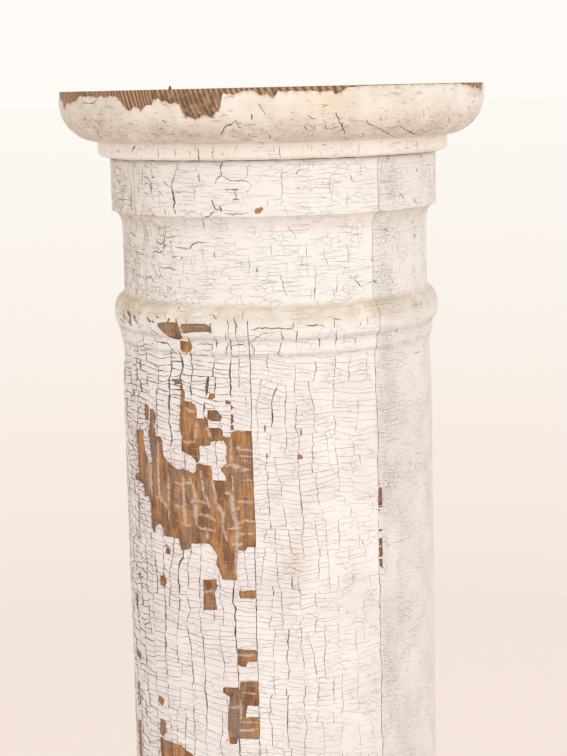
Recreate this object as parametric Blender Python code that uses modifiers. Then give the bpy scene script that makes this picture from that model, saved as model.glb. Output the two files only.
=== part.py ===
"""A turned wooden porch column: eight glued staves round a hollow core, a capital block and a base ring.

Metres, +Z up. The origin is on the ground under the column's axis and the column's front faces -Y.
An azimuth is counted from the front, and is positive towards +X.
"""
import bmesh
import bpy
from math import cos, pi, radians, sin, tan

# Overall
total_height = 1.524
joint_gap = 0.0003
round_steps = 56

# Staves: flat boards glued edge to edge, then turned together
stave_count = 8
front_joint_azimuth = -9.5
core_half_width = 0.0690

# Capital block, from its rim down
capital_rim_radius = 0.1370
capital_rim_height = 0.0061
echinus_height = 0.0256
capital_fillet_radius = 0.1132
capital_fillet_height = 0.0076
capital_foot_height = 0.0028
capital_foot_inset = 0.0066

# Neck mouldings, turned on the staves, from the capital down
band_radius = 0.1056
band_height = 0.0335
neck_radius = 0.0993
neck_cove_height = 0.0112
neck_height = 0.0324
neck_flare_height = 0.0112
neck_flare_reach = 0.0010
bead_radius = 0.1066
bead_height = 0.0197
bead_crown_depth = 0.0128
bead_fillet_radius = 0.1029
bead_fillet_height = 0.0088

# Shaft
shaft_cove_radius = 0.1009
shaft_cove_height = 0.0076
shaft_top_radius = 0.1021
shaft_swell_height = 0.0350
shaft_bottom_radius = 0.1060
shaft_foot_radius = 0.1100
shaft_foot_height = 0.0060
shaft_flare_height = 0.0140

# Base ring, from its listel down
base_listel_radius = 0.1160
base_listel_height = 0.0080
base_torus_radius = 0.1395
base_torus_height = 0.0500
base_ledge = 0.0080

# Where the pieces meet
capital_height = capital_rim_height + echinus_height + capital_fillet_height + capital_foot_height
base_height = base_listel_height + base_torus_height
stave_top = total_height - capital_height - joint_gap
stave_bottom = base_height + joint_gap
stave_angle = 2 * pi / stave_count
cutter_margin = 0.02


def leave_flat(start, end, count):
    """Points of a quarter ellipse that leaves start level and reaches end upright."""
    angles = [pi / 2 * step / count for step in range(1, count + 1)]
    return [(start[0] + (end[0] - start[0]) * sin(angle),
             start[1] + (end[1] - start[1]) * (1 - cos(angle))) for angle in angles]


def leave_upright(start, end, count):
    """Points of a quarter ellipse that leaves start upright and reaches end level."""
    angles = [pi / 2 * step / count for step in range(1, count + 1)]
    return [(start[0] + (end[0] - start[0]) * (1 - cos(angle)),
             start[1] + (end[1] - start[1]) * sin(angle)) for angle in angles]


def ease(start, end, count):
    """Points of a soft S that leaves start upright and reaches end upright."""
    shares = [step / count for step in range(1, count + 1)]
    return [(start[0] + (end[0] - start[0]) * (1 - cos(pi * share)) / 2,
             start[1] + (end[1] - start[1]) * share) for share in shares]


def capital_profile():
    """The capital's half section, as (radius, height) from its top centre down to its foot's centre."""
    rim_foot = (capital_rim_radius, total_height - capital_rim_height)
    echinus_foot = (capital_fillet_radius, rim_foot[1] - echinus_height)
    fillet_foot = (capital_fillet_radius, echinus_foot[1] - capital_fillet_height)
    foot = (capital_fillet_radius - capital_foot_inset, fillet_foot[1] - capital_foot_height)
    points = [(0, total_height), (capital_rim_radius, total_height), rim_foot]
    points += leave_upright(rim_foot, echinus_foot, 7)
    points += [fillet_foot]
    points += leave_upright(fillet_foot, foot, 2)
    return points + [(0, foot[1])]


def shaft_profile():
    """The turned outline that all staves share, from the axis at the top to the axis at the bottom."""
    band_foot = (band_radius, stave_top - band_height)
    neck_head = (neck_radius, band_foot[1] - neck_cove_height)
    neck_foot = (neck_radius, neck_head[1] - neck_height)
    bead_head = (neck_radius + neck_flare_reach, neck_foot[1] - neck_flare_height)
    bead_crown = (bead_radius, bead_head[1] - bead_crown_depth)
    bead_foot = (bead_fillet_radius, bead_head[1] - bead_height)
    fillet_foot = (bead_fillet_radius, bead_foot[1] - bead_fillet_height)
    cove_foot = (shaft_cove_radius, fillet_foot[1] - shaft_cove_height)
    swell_foot = (shaft_top_radius, cove_foot[1] - shaft_swell_height)
    foot_head = (shaft_foot_radius, stave_bottom + shaft_foot_height)
    taper_foot = (shaft_bottom_radius, foot_head[1] + shaft_flare_height)
    points = [(0, stave_top), (band_radius, stave_top), band_foot]
    points += leave_flat(band_foot, neck_head, 4)
    points += [neck_foot]
    points += leave_upright(neck_foot, bead_head, 2)
    points += leave_flat(bead_head, bead_crown, 5)
    points += leave_upright(bead_crown, bead_foot, 5)
    points += [fillet_foot]
    points += leave_flat(fillet_foot, cove_foot, 3)
    points += ease(cove_foot, swell_foot, 4)
    points += [taper_foot]
    points += leave_upright(taper_foot, foot_head, 4)
    return points + [(shaft_foot_radius, stave_bottom), (0, stave_bottom)]


def base_profile():
    """The base ring's section, a closed loop that starts at its top inner edge and runs down outside."""
    hole_radius = core_half_width - base_ledge
    listel_foot = (base_listel_radius, base_height - base_listel_height)
    crown = (base_torus_radius, base_torus_height / 2)
    torus_foot = (base_listel_radius, 0)
    points = [(hole_radius, base_height), (base_listel_radius, base_height), listel_foot]
    points += leave_flat(listel_foot, crown, 6)
    points += leave_upright(crown, torus_foot, 6)
    return points + [(hole_radius, 0)]


def material(name, colour, roughness):
    """A Principled material of one colour."""
    made = bpy.data.materials.new(name)
    made.use_nodes = True
    shader = made.node_tree.nodes["Principled BSDF"]
    shader.inputs["Base Color"].default_value = (*colour, 1)
    shader.inputs["Roughness"].default_value = roughness
    return made


def add_object(name, mesh, collection):
    """An object of this mesh, linked into the collection."""
    made = bpy.data.objects.new(name, mesh)
    collection.objects.link(made)
    return made


def turned(name, profile, is_loop, collection):
    """A profile at +X, turned round the Z axis with a Screw modifier."""
    mesh = bpy.data.meshes.new(name)
    edges = [(index, index + 1) for index in range(len(profile) - 1)]
    if is_loop:
        edges.append((len(profile) - 1, 0))
    mesh.from_pydata([(radius, 0, height) for radius, height in profile], edges, [])
    made = add_object(name, mesh, collection)
    screw = made.modifiers.new("turning", "SCREW")
    screw.axis = "Z"
    screw.steps = round_steps
    screw.render_steps = round_steps
    screw.use_merge_vertices = True
    screw.merge_threshold = 0.0001
    screw.use_smooth_shade = True
    return made


def board_mesh():
    """One bevelled board, facing +X: a block whose two long edges are cut to the radial joint planes."""
    profile = shaft_profile()
    board_face = max(radius for radius, height in profile) + cutter_margin
    low, high = stave_bottom - cutter_margin, stave_top + cutter_margin
    form = bmesh.new()
    bmesh.ops.create_cube(form, size=1)
    for corner in form.verts:
        depth = board_face if corner.co.x > 0 else core_half_width
        half_width = depth * tan(stave_angle / 2) - joint_gap / 2 / cos(stave_angle / 2)
        corner.co.x = depth
        corner.co.y = half_width if corner.co.y > 0 else -half_width
        corner.co.z = high if corner.co.z > 0 else low
    mesh = bpy.data.meshes.new("board")
    form.to_mesh(mesh)
    form.free()
    return mesh


def make_staves(collection, cutters):
    """Each stave is the board, turned down to the outline that all of them share."""
    outline = turned("shaft_outline", shaft_profile(), False, cutters)
    half_step = pi / round_steps
    outline.rotation_euler.z = radians(front_joint_azimuth - 90) + half_step
    outline.hide_render = True
    outline.display_type = "WIRE"
    board = board_mesh()
    board.materials.append(material("painted_stave_wood", (0.80, 0.74, 0.68), 0.65))
    for index in range(stave_count):
        stave = add_object(f"stave_{index + 1}", board, collection)
        stave.rotation_euler.z = radians(front_joint_azimuth - 90) + (index + 0.5) * stave_angle
        turning = stave.modifiers.new("turning", "BOOLEAN")
        turning.operation = "INTERSECT"
        turning.solver = "EXACT"
        turning.object = outline


def make_capital(collection):
    """The capital, one solid turned block that closes the top."""
    capital = turned("capital", capital_profile(), False, collection)
    capital.data.materials.append(material("painted_capital_wood", (0.76, 0.69, 0.61), 0.6))


def make_base(collection):
    """The base ring that the staves stand on, with the hollow core open through it."""
    ring = turned("base_ring", base_profile(), True, collection)
    ring.data.materials.append(material("painted_base_wood", (0.78, 0.72, 0.66), 0.65))


def main():
    """Clear the scene and build the column."""
    for old in list(bpy.data.objects):
        bpy.data.objects.remove(old)
    column = bpy.data.collections.new("wooden_pillar")
    cutters = bpy.data.collections.new("cutters")
    bpy.context.scene.collection.children.link(column)
    bpy.context.scene.collection.children.link(cutters)
    make_capital(column)
    make_staves(column, cutters)
    make_base(column)


main()
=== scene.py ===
"""The finish of a turned wooden porch column: thick old cracked paint over bare, weathered wood.

Metres, +Z up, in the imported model's frame. An azimuth is counted in degrees from the front (-Y), positive
towards +X. A drop is a height below the capital's rim, in millimetres. "Down" is the distance in metres
along a turned outline from its upper end.
"""

import bmesh
import bpy
import numpy as np
from mathutils import Matrix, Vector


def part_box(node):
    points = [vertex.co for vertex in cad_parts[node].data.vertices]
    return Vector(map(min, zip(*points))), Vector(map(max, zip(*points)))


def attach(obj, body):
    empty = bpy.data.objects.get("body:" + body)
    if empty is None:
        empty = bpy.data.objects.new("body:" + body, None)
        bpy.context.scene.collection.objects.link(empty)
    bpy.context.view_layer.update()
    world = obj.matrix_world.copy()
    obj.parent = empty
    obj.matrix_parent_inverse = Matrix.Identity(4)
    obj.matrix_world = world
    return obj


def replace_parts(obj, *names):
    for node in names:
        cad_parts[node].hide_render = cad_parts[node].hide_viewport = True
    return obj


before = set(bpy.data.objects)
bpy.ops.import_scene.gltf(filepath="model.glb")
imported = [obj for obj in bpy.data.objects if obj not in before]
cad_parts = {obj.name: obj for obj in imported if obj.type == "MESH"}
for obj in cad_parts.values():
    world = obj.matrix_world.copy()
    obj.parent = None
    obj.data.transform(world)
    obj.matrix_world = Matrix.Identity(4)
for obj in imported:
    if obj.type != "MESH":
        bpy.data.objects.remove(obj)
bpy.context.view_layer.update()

mm = 0.001

# Turned sizes, as the solids have them
capital_rim_radius = 137.0 * mm
capital_rim_height = 6.1 * mm
echinus_height = 25.6 * mm
capital_fillet_radius = 113.2 * mm
capital_fillet_height = 7.6 * mm
capital_foot_height = 2.8 * mm
capital_foot_inset = 6.6 * mm
band_radius = 105.6 * mm
band_height = 33.5 * mm
neck_radius = 99.3 * mm
neck_cove_height = 11.2 * mm
neck_height = 32.4 * mm
neck_flare_height = 11.2 * mm
neck_flare_reach = 1.0 * mm
bead_radius = 106.6 * mm
bead_height = 19.7 * mm
bead_crown_depth = 12.8 * mm
bead_fillet_radius = 102.9 * mm
bead_fillet_height = 8.8 * mm
shaft_cove_radius = 100.9 * mm
shaft_cove_height = 7.6 * mm
shaft_top_radius = 102.1 * mm
shaft_swell_height = 35.0 * mm
shaft_bottom_radius = 106.0 * mm
shaft_foot_radius = 110.0 * mm
shaft_foot_height = 6.0 * mm
shaft_flare_height = 14.0 * mm
base_listel_radius = 116.0 * mm
base_listel_height = 8.0 * mm
base_torus_radius = 139.5 * mm
base_hole_radius = 61.0 * mm
core_half_width = 69.0 * mm
joint_gap = 0.3 * mm
stave_count = 8
front_joint_azimuth = -9.5
stave_degrees = 360 / stave_count

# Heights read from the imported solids
rim_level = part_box("capital")[1][2]
capital_foot_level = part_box("capital")[0][2]
stave_top_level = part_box("stave_1")[1][2]
stave_foot_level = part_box("stave_1")[0][2]
base_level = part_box("base_ring")[1][2]

# The paint coat
paint_coat = 0.9 * mm
paint_rounding = 1.6 * mm
flake_sink = 0.15 * mm
flake_bevel = 0.13 * mm
flake_bevel_drop = 0.10 * mm
flake_curl = 0.18 * mm
joint_crack = 0.22 * mm
least_crack = 0.03 * mm
least_level_crack = 0.02 * mm

# How the crack over each joint kinks and strays, in millimetres, and half its width on the mouldings
joint_sways = (0.3, 0.6, 0.4, 0.5, 0.4, 0.5, 0.4, 0.45)
joint_strays = (0, 2.3, 0.8, -0.6, 0.5, -0.9, 0.7, 0)
neck_joint_halves = (0.0, 0.13, 0.2, 0.2, 0.2, 0.2, 0.2, 0.15)

# The radius at which the coat is laid out flat, a stave's width there and a degree's in millimetres
measuring_radius = 103.0 * mm
stave_width = np.radians(stave_degrees) * measuring_radius
degree_width = 1.8

# How finely pieces are divided: a stave's arc, its coat above the shaft, and flakes in front, cut or behind
stave_columns = 17
fine_coat_grid = (60, 96)
plain_coat_grid = (30, 56)
fine_flake = (5, 3)
cut_flake = (2, 2)
plain_flake = (3, 3)

# A stave's inner face: its corners' trim in degrees, and how far on they are on the surface map
inner_trim = 0.12
inner_runs = (0.03, 0.09, 0.12)

# Where the coat changes, as drops: flakes begin, traced patches end, fine flakes end, flakes are larger
shaft_coat_drop = 138
traced_foot_drop = 450
fine_foot_drop = 460
plain_head_drop = 470
view_left = -84
view_right = 40


def arc(start, end, leaves_level, count=12):
    """A quarter ellipse from start to end: sine against one minus cosine, level or upright at its start."""
    angle = np.linspace(0, np.pi / 2, count + 1)[1:]
    rise, run = (1 - np.cos(angle), np.sin(angle)) if leaves_level else (np.sin(angle), 1 - np.cos(angle))
    return [(start[0] + (end[0] - start[0]) * a, start[1] + (end[1] - start[1]) * b)
            for a, b in zip(run, rise)]


def swell(start, end, count=8):
    """A soft S from start to end: the radius follows half a cosine wave as the height falls evenly."""
    share = np.linspace(0, 1, count + 1)[1:]
    return [(start[0] + (end[0] - start[0]) * (1 - np.cos(np.pi * t)) / 2, start[1] + (end[1] - start[1]) * t)
            for t in share]


class TurnedOutline:
    """A turned outline, read by the distance down it.

    The corner points are joined by straight lines and read at an even step. Each reading is averaged with
    its neighbours over the rounding length, which softens corners as thick paint does. The outward
    direction is the outline's own direction turned by a right angle.
    """

    step = 0.25 * mm

    def __init__(self, corners, rounding):
        corners = np.array(corners)
        reach = np.concatenate([[0], np.cumsum(np.hypot(*np.diff(corners, axis=0).T))])
        self.length = reach[-1]
        self.down = np.linspace(0, self.length, int(self.length / self.step) + 1)
        half = max(1, int(rounding / self.step / 2))
        weights = np.hanning(2 * half + 3)[1:-1]
        weights /= weights.sum()
        self.radius, self.height = (self.soften(np.interp(self.down, reach, corners[:, side]), half, weights)
                                    for side in (0, 1))
        radius_slope, height_slope = np.gradient(self.radius), np.gradient(self.height)
        pace = np.hypot(radius_slope, height_slope)
        self.out_radius = -height_slope / pace
        self.out_height = radius_slope / pace

    @staticmethod
    def soften(values, half, weights):
        """The weighted mean of each value and its neighbours, with the ends carried on straight."""
        return np.convolve(np.pad(values, half, mode="reflect", reflect_type="odd"), weights, mode="valid")

    def at(self, down, values):
        """One of the outline's readings at these distances."""
        return np.interp(down, self.down, values)

    def down_at(self, drop):
        """The distance down at which the outline has fallen this many millimetres below the rim."""
        falls = np.maximum.accumulate(rim_level - self.height)
        return np.interp(drop * mm, falls, self.down)

    def drop_at(self, down):
        """How many millimetres below the rim the outline is at these distances down."""
        return (rim_level - self.at(down, self.height)) / mm

    def place(self, azimuth, down, lift):
        """Points at an azimuth and a distance down, moved outwards by lift: radius times sine and cosine."""
        radius = self.at(down, self.radius) + lift * self.at(down, self.out_radius)
        height = self.at(down, self.height) + lift * self.at(down, self.out_height)
        turn = np.radians(azimuth)
        return np.stack([radius * np.sin(turn), -radius * np.cos(turn), height], axis=-1)


def capital_outline():
    """The capital's outer side: rim, echinus, fillet and rounded foot."""
    rim_foot = (capital_rim_radius, rim_level - capital_rim_height)
    echinus_foot = (capital_fillet_radius, rim_foot[1] - echinus_height)
    fillet_foot = (capital_fillet_radius, echinus_foot[1] - capital_fillet_height)
    foot = (capital_fillet_radius - capital_foot_inset, fillet_foot[1] - capital_foot_height)
    corners = [(capital_rim_radius, rim_level), rim_foot] + arc(rim_foot, echinus_foot, False)
    return TurnedOutline(corners + [fillet_foot] + arc(fillet_foot, foot, False), paint_rounding)


def stave_outline():
    """The outer side that the staves share: band, neck, bead, fillet, shaft and foot."""
    band_foot = (band_radius, stave_top_level - band_height)
    neck_head = (neck_radius, band_foot[1] - neck_cove_height)
    neck_foot = (neck_radius, neck_head[1] - neck_height)
    bead_head = (neck_radius + neck_flare_reach, neck_foot[1] - neck_flare_height)
    bead_crown = (bead_radius, bead_head[1] - bead_crown_depth)
    bead_foot = (bead_fillet_radius, bead_head[1] - bead_height)
    fillet_foot = (bead_fillet_radius, bead_foot[1] - bead_fillet_height)
    cove_foot = (shaft_cove_radius, fillet_foot[1] - shaft_cove_height)
    swell_foot = (shaft_top_radius, cove_foot[1] - shaft_swell_height)
    foot_head = (shaft_foot_radius, stave_foot_level + shaft_foot_height)
    taper_foot = (shaft_bottom_radius, foot_head[1] + shaft_flare_height)
    corners = [(band_radius, stave_top_level), band_foot] + arc(band_foot, neck_head, True) + [neck_foot]
    corners += arc(neck_foot, bead_head, False) + arc(bead_head, bead_crown, True)
    corners += arc(bead_crown, bead_foot, False) + [fillet_foot] + arc(fillet_foot, cove_foot, True)
    corners += swell(cove_foot, swell_foot) + [taper_foot] + arc(taper_foot, foot_head, False)
    return TurnedOutline(corners + [(shaft_foot_radius, stave_foot_level)], paint_rounding)


def base_outline():
    """The base ring's whole section as a closed run: listel, torus, underside and hole."""
    listel_foot = (base_listel_radius, base_level - base_listel_height)
    crown = (base_torus_radius, listel_foot[1] / 2)
    corners = [(base_hole_radius, base_level), (base_listel_radius, base_level), listel_foot]
    corners += arc(listel_foot, crown, True) + arc(crown, (base_listel_radius, 0), False)
    return TurnedOutline(corners + [(base_hole_radius, 0), (base_hole_radius, base_level)], 1.2 * mm)


def smooth_noise(across, down, size, seed, around=0):
    """Random heights from -1 to 1 on a square lattice, blended between its corners with a smooth step.

    With around set, the lattice repeats after that many steps across, so a pattern meets itself behind.
    """
    lattice = np.random.default_rng(seed).uniform(-1, 1, (151, 151))
    a, d = across / size, down / size
    a_low, d_low = np.floor(a).astype(int), np.floor(d).astype(int)
    a_share, d_share = a - a_low, d - d_low
    a_share = a_share * a_share * (3 - 2 * a_share)
    d_share = d_share * d_share * (3 - 2 * d_share)
    repeat = around or 151
    left, right = a_low % repeat % 151, (a_low + 1) % repeat % 151
    top, foot = d_low % 151, (d_low + 1) % 151
    upper = lattice[left, top] * (1 - a_share) + lattice[right, top] * a_share
    lower = lattice[left, foot] * (1 - a_share) + lattice[right, foot] * a_share
    return upper * (1 - d_share) + lower * d_share


def layers(across, down, *noises):
    """Noises added up, each given by its strength, its size in millimetres and its seed."""
    return sum(strength * smooth_noise(across, down, size * mm, seed) for strength, size, seed in noises)


def distance_round(azimuth, radius=measuring_radius):
    """The distance round the column to an azimuth, counted from straight behind."""
    return np.radians(azimuth + 180) * radius


def azimuth_at(across, azimuth_start):
    """The azimuth at a distance across a stave."""
    return azimuth_start + np.degrees(across / measuring_radius)


def soft_step(values, low, high):
    """0 below low, 1 above high and a smooth step between them."""
    share = np.clip((values - low) / (high - low), 0, 1)
    return share * share * (3 - 2 * share)


def soft_fall(values, low, high):
    """1 below low, 0 above high and a smooth step between them."""
    return 1 - soft_step(values, low, high)


def hump(values, middle, width):
    """1 at the middle and less to both sides: e to the minus square of the distance over the width."""
    return np.exp(-((values - middle) / width) ** 2)


def make_piece(name, points, faces, materials, attributes=None, corner_uv=None, sharp=None):
    """A mesh object from whole arrays of points and four-cornered faces, with its attributes and UV map."""
    points = points.reshape(-1, 3)
    mesh = bpy.data.meshes.new(name)
    mesh.vertices.add(len(points))
    mesh.vertices.foreach_set("co", points.ravel().astype(np.float32))
    mesh.loops.add(faces.size)
    mesh.loops.foreach_set("vertex_index", faces.ravel().astype(np.int32))
    mesh.polygons.add(len(faces))
    mesh.polygons.foreach_set("loop_start", np.arange(0, faces.size, 4, dtype=np.int32))
    mesh.update(calc_edges=True)
    mesh.polygons.foreach_set("use_smooth", np.ones(len(faces), dtype=bool))
    for attribute, values in (attributes or {}).items():
        layer = mesh.attributes.new(attribute, "FLOAT", "POINT")
        layer.data.foreach_set("value", values.ravel().astype(np.float32))
    if corner_uv is not None:
        mesh.uv_layers.new(name="surface").data.foreach_set("uv", corner_uv.ravel().astype(np.float32))
    for material in materials:
        mesh.materials.append(material)
    if sharp:
        mesh.set_sharp_from_angle(angle=np.radians(sharp))
    piece = bpy.data.objects.new(name, mesh)
    bpy.context.scene.collection.objects.link(piece)
    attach(piece, "root")
    return piece


def grid_faces(rows, columns):
    """Four-cornered faces of a grid whose rows run down and whose columns run towards +azimuth."""
    number = np.arange(rows * columns).reshape(rows, columns)
    corners = [number[:-1, :-1], number[1:, :-1], number[1:, 1:], number[:-1, 1:]]
    return np.stack(corners, axis=-1).reshape(-1, 4)


def weld(piece):
    """Joins the seam and the poles of a turned grid, where its points coincide."""
    form = bmesh.new()
    form.from_mesh(piece.data)
    bmesh.ops.remove_doubles(form, verts=form.verts, dist=0.002 * mm)
    form.to_mesh(piece.data)
    form.free()


# Cracks by azimuth: flake sizes and half widths in millimetres, looseness and the shares that are open

crack_places = (-180, -100, -60, -32, -20, -9, 16, 34, 38, 60, 100, 120, 180)
flake_widths = (17, 15, 12, 13.5, 13, 12.5, 14, 14, 13, 15, 16, 17, 17)
flake_heights = (9, 7.5, 5.2, 5.0, 4.9, 4.9, 5.0, 5.4, 5.8, 7, 9, 10, 9)
flake_looseness = (0.8, 2.2, 2.4, 1.4, 0.8, 0.45, 0.35, 0.25, 0.12, 0.1, 0.3, 0.7, 0.8)
upright_halves = (0.28, 0.28, 0.26, 0.22, 0.14, 0.11, 0.10, 0.075, 0.05, 0.04, 0.10, 0.26, 0.28)
upright_shares = (0.85, 0.9, 0.9, 0.9, 0.84, 0.80, 0.74, 0.58, 0.32, 0.26, 0.55, 0.8, 0.85)
level_halves = (0.12, 0.10, 0.085, 0.075, 0.062, 0.052, 0.048, 0.044, 0.045, 0.04, 0.07, 0.11, 0.12)
level_shares = (0.85, 0.84, 0.86, 0.88, 0.88, 0.86, 0.82, 0.78, 0.42, 0.34, 0.55, 0.8, 0.85)

# Long cracks that gape: azimuth, drops at both ends and the millimetres that half the width gains
gaping_cracks = {
    "left joint": (-54.5, 180, 440, 0.20),
    "second line by the joint": (-16.8, 284, 430, 0.22),
    "right of the small patches": (-17.5, 166, 200, 0.30),
    "left of the patch": (-42.0, 166, 215, 0.48),
    "above the patch": (-34.8, 166, 192, 0.60),
    "middle, above the patch": (-24.3, 166, 186, 0.52),
    "left, below the patch": (-46.0, 292, 360, 0.36),
    "far left": (-50.5, 340, 384, 0.42),
    "below the patch": (-38.5, 286, 330, 0.34),
    "below the first square": (-27.5, 306, 390, 0.36),
    "front line": (-2.0, 176, 204, 0.16),
    "front, right of it": (7.0, 236, 262, 0.10),
    "left of the break": (-29.5, 190, 214, 0.28),
    "far left, high": (-58.5, 166, 236, 0.40),
    "left side": (-64.0, 240, 330, 0.40),
    "left side, low": (-69.0, 330, 430, 0.45),
    "front, low": (3.0, 300, 420, 0.14),
}


def by_azimuth(azimuth, values):
    """A value that changes evenly between the named azimuths."""
    return np.interp(azimuth, crack_places, values)


def crack_width(azimuth, drop, across, down, upright):
    """Half the width of a crack, in metres: its place's width, times how bold this line is along its run.

    Around the large patch and on the left side the coat is torn, and some long cracks gape there.
    """
    size = (9 * mm, 32 * mm) if upright else (40 * mm, 9 * mm)
    bold = smooth_noise(across / size[0], down / size[1], 1, 801 if upright else 802)
    ragged = smooth_noise(across, down, 3.2 * mm, 803)
    half = by_azimuth(azimuth, upright_halves if upright else level_halves)
    torn = hump(azimuth, -37, 17) * soft_fall(drop, 200, 224)
    torn = torn + hump(azimuth, -66, 12) * soft_fall(drop, 430, 460)
    torn = torn * (0.8 + 0.8 * ragged) * (1 if upright else 2.2)
    half = half * np.maximum(1 + 0.5 * bold + 0.45 * ragged + torn, 0.25)
    if upright:
        for place, top, foot, more in gaping_cracks.values():
            within = soft_step(drop, top - 4, top + 4) * soft_fall(drop, foot - 4, foot + 4)
            half = half + more * hump(azimuth, place, 2.0) * within * (1 + 0.7 * ragged)
    return half * mm


def crack_share(azimuth, drop, upright):
    """The share of a crack's length that is open, less on the mouldings than on the shaft."""
    shaft = 0.42 + 0.58 * soft_step(drop, 156, 168)
    faded = 1 - 0.35 * hump(azimuth, 28, 9) * soft_step(drop, 205, 260)
    return by_azimuth(azimuth, upright_shares if upright else level_shares) * shaft * faded


def split_cells(cells, sides, across, limit, lean, dice, crack=1):
    """Cuts every cell that is longer than its limit in two, by a line that leans a little.

    A cell is four corners (across, down) in metres: upper left, upper right, lower right, lower left. Its
    sides (top, right, foot, left) are 1 for a crack, and 0 where they only join two parts of one flake.
    """
    turn, turned = ([0, 1, 2, 3], [0, 1, 2, 3]) if across else ([0, 3, 2, 1], [3, 2, 1, 0])
    cells, sides = cells[:, turn], sides[:, turned]
    size = np.linalg.norm((cells[:, 1] - cells[:, 0] + cells[:, 2] - cells[:, 3]) / 2, axis=1)
    other = np.linalg.norm((cells[:, 3] - cells[:, 0] + cells[:, 2] - cells[:, 1]) / 2, axis=1)
    cut = size > limit * dice.uniform(1.0, 1.7, len(cells))
    share = dice.uniform(0.32, 0.68, (len(cells), 1))
    slant = np.clip(dice.uniform(-lean, lean, len(cells)) * other / size, -0.22, 0.22)[:, None]
    first = cells[:, 0] + (cells[:, 1] - cells[:, 0]) * (share + slant)
    second = cells[:, 3] + (cells[:, 2] - cells[:, 3]) * (share - slant)
    near, far, near_sides, far_sides = cells.copy(), cells[cut], sides.copy(), sides[cut]
    near[cut, 1], near[cut, 2] = first[cut], second[cut]
    far[:, 0], far[:, 3] = first[cut], second[cut]
    near_sides[cut, 1] = far_sides[:, 3] = crack
    cells, sides = np.concatenate([near, far]), np.concatenate([near_sides, far_sides])
    return cells[:, turn], sides[:, turned], cut.any()


def place_of(points, azimuth_start, outline, bend=False):
    """The azimuth and drop of points on a stave's coat, with or without the bending of the crack lines."""
    across, down = points[..., 0], points[..., 1]
    if bend:
        across, down = wander(across, down, azimuth_start, outline)
    return azimuth_at(across, azimuth_start), outline.drop_at(down)


def crack_cells(azimuth_start, first_cuts, outline, seed):
    """A stave's coat, split as old paint splits, as cells of four corners (across, down) in metres.

    Long cracks run with the grain first, then each strip is cut across into panels, the panels along the
    grain into narrow strips, and the strips across into flakes. Each step repeats until no cell is too long.
    Flakes that straddle the edge of a bare patch are cut finer, without cracks between their parts.
    Returns the cells, their sides and whether each of their middle, sides and corners is bare.
    """
    dice = np.random.default_rng(seed)
    edges = [0] + [np.radians(cut - azimuth_start) * measuring_radius for cut in first_cuts]
    edges.append(stave_width)
    head, foot = outline.down_at(shaft_coat_drop), outline.length
    cells = np.array([[(left, head), (right, head), (right, foot), (left, foot)]
                      for left, right in zip(edges, edges[1:])])
    sides = np.ones((len(cells), 4))
    sides[:, 0] = 0

    def flake_size(sizes):
        def limit(cells):
            azimuth, drop = place_of(cells.mean(axis=1), azimuth_start, outline)
            larger = np.where(drop > plain_head_drop, 1.8, np.where(drop < 158, 1.5, 1))
            return by_azimuth(azimuth, sizes) * mm * larger
        return limit

    steps = [(True, lambda cells: 28 * mm, 0.02), (False, lambda cells: 46 * mm, 0.07),
             (True, flake_size(flake_widths), 0.06), (False, flake_size(flake_heights), 0.08)]
    for across, limit, lean in steps:
        cutting = True
        while cutting:
            cells, sides, cutting = split_cells(cells, sides, across, limit(cells), lean, dice)
    for limit in (4.2 * mm, 2.0 * mm):
        bare, drop = bare_corners(cells, azimuth_start, outline)
        mixed = bare.any(axis=1) & ~bare.all(axis=1) & (drop < plain_head_drop)
        part, part_sides = cells[mixed], sides[mixed]
        for across in (True, False):
            cutting = mixed.any()
            while cutting:
                part, part_sides, cutting = split_cells(part, part_sides, across, limit, 0.12, dice, 0)
        cells, sides = np.concatenate([cells[~mixed], part]), np.concatenate([sides[~mixed], part_sides])
    return cells, sides, bare_corners(cells, azimuth_start, outline)[0]


def bare_corners(cells, azimuth_start, outline):
    """Whether each cell's middle, sides and corners lie on bare wood, and its middle's drop."""
    middle = cells.mean(axis=1, keepdims=True)
    corners = middle + 0.97 * (cells - middle)
    halfway = (corners + np.roll(corners, -1, axis=1)) / 2
    azimuth, drop = place_of(np.concatenate([middle, corners, halfway], axis=1), azimuth_start, outline, True)
    return is_bare(azimuth, drop), drop[:, 0]


def flake_template(across, down):
    """One flake: a grid of across by down points, with a rim and a foot round the grid's border.

    Returns each point's shares across and down, its ring (0 top, 1 rim, 2 foot) and the faces.
    """
    number = np.arange(across * down).reshape(down, across)
    share_down, share_across = np.divmod(number.ravel(), across)
    border = np.concatenate([number[0, :-1], number[:-1, -1], number[-1, :0:-1], number[:0:-1, 0]])
    rim = number.size + np.arange(len(border))
    foot = rim + len(border)
    faces = [grid_faces(down, across)]
    for inner, outer in ((border, rim), (rim, foot)):
        faces.append(np.stack([inner, np.roll(inner, -1), np.roll(outer, -1), outer], axis=-1))
    order = np.concatenate([number.ravel(), border, border])
    ring = np.repeat([0, 1, 2], [number.size, len(border), len(border)])
    return share_across[order] / (across - 1), share_down[order] / (down - 1), ring, np.concatenate(faces)


def joint_pull(across, down, azimuth_start):
    """How far the coat is drawn sideways near a stave's joints, in metres: the joint's stray and its kinks.

    The crack over a joint doesn't quite follow it. The pull fades out within a few millimetres of the joint.
    """
    inside = np.minimum(across, stave_width - across)
    azimuth = azimuth_at(across, azimuth_start)
    joint = np.round((azimuth - front_joint_azimuth) / stave_degrees).astype(int) % stave_count
    kinks = layers(joint * 0.1, down, (1, 10, 861), (0.8, 3.4, 862))
    kinks = np.take(joint_sways, joint) * kinks * soft_fall(inside, 0, 5 * mm)
    return (kinks + np.take(joint_strays, joint) * soft_fall(inside, 0, 15 * mm)) * mm


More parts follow.
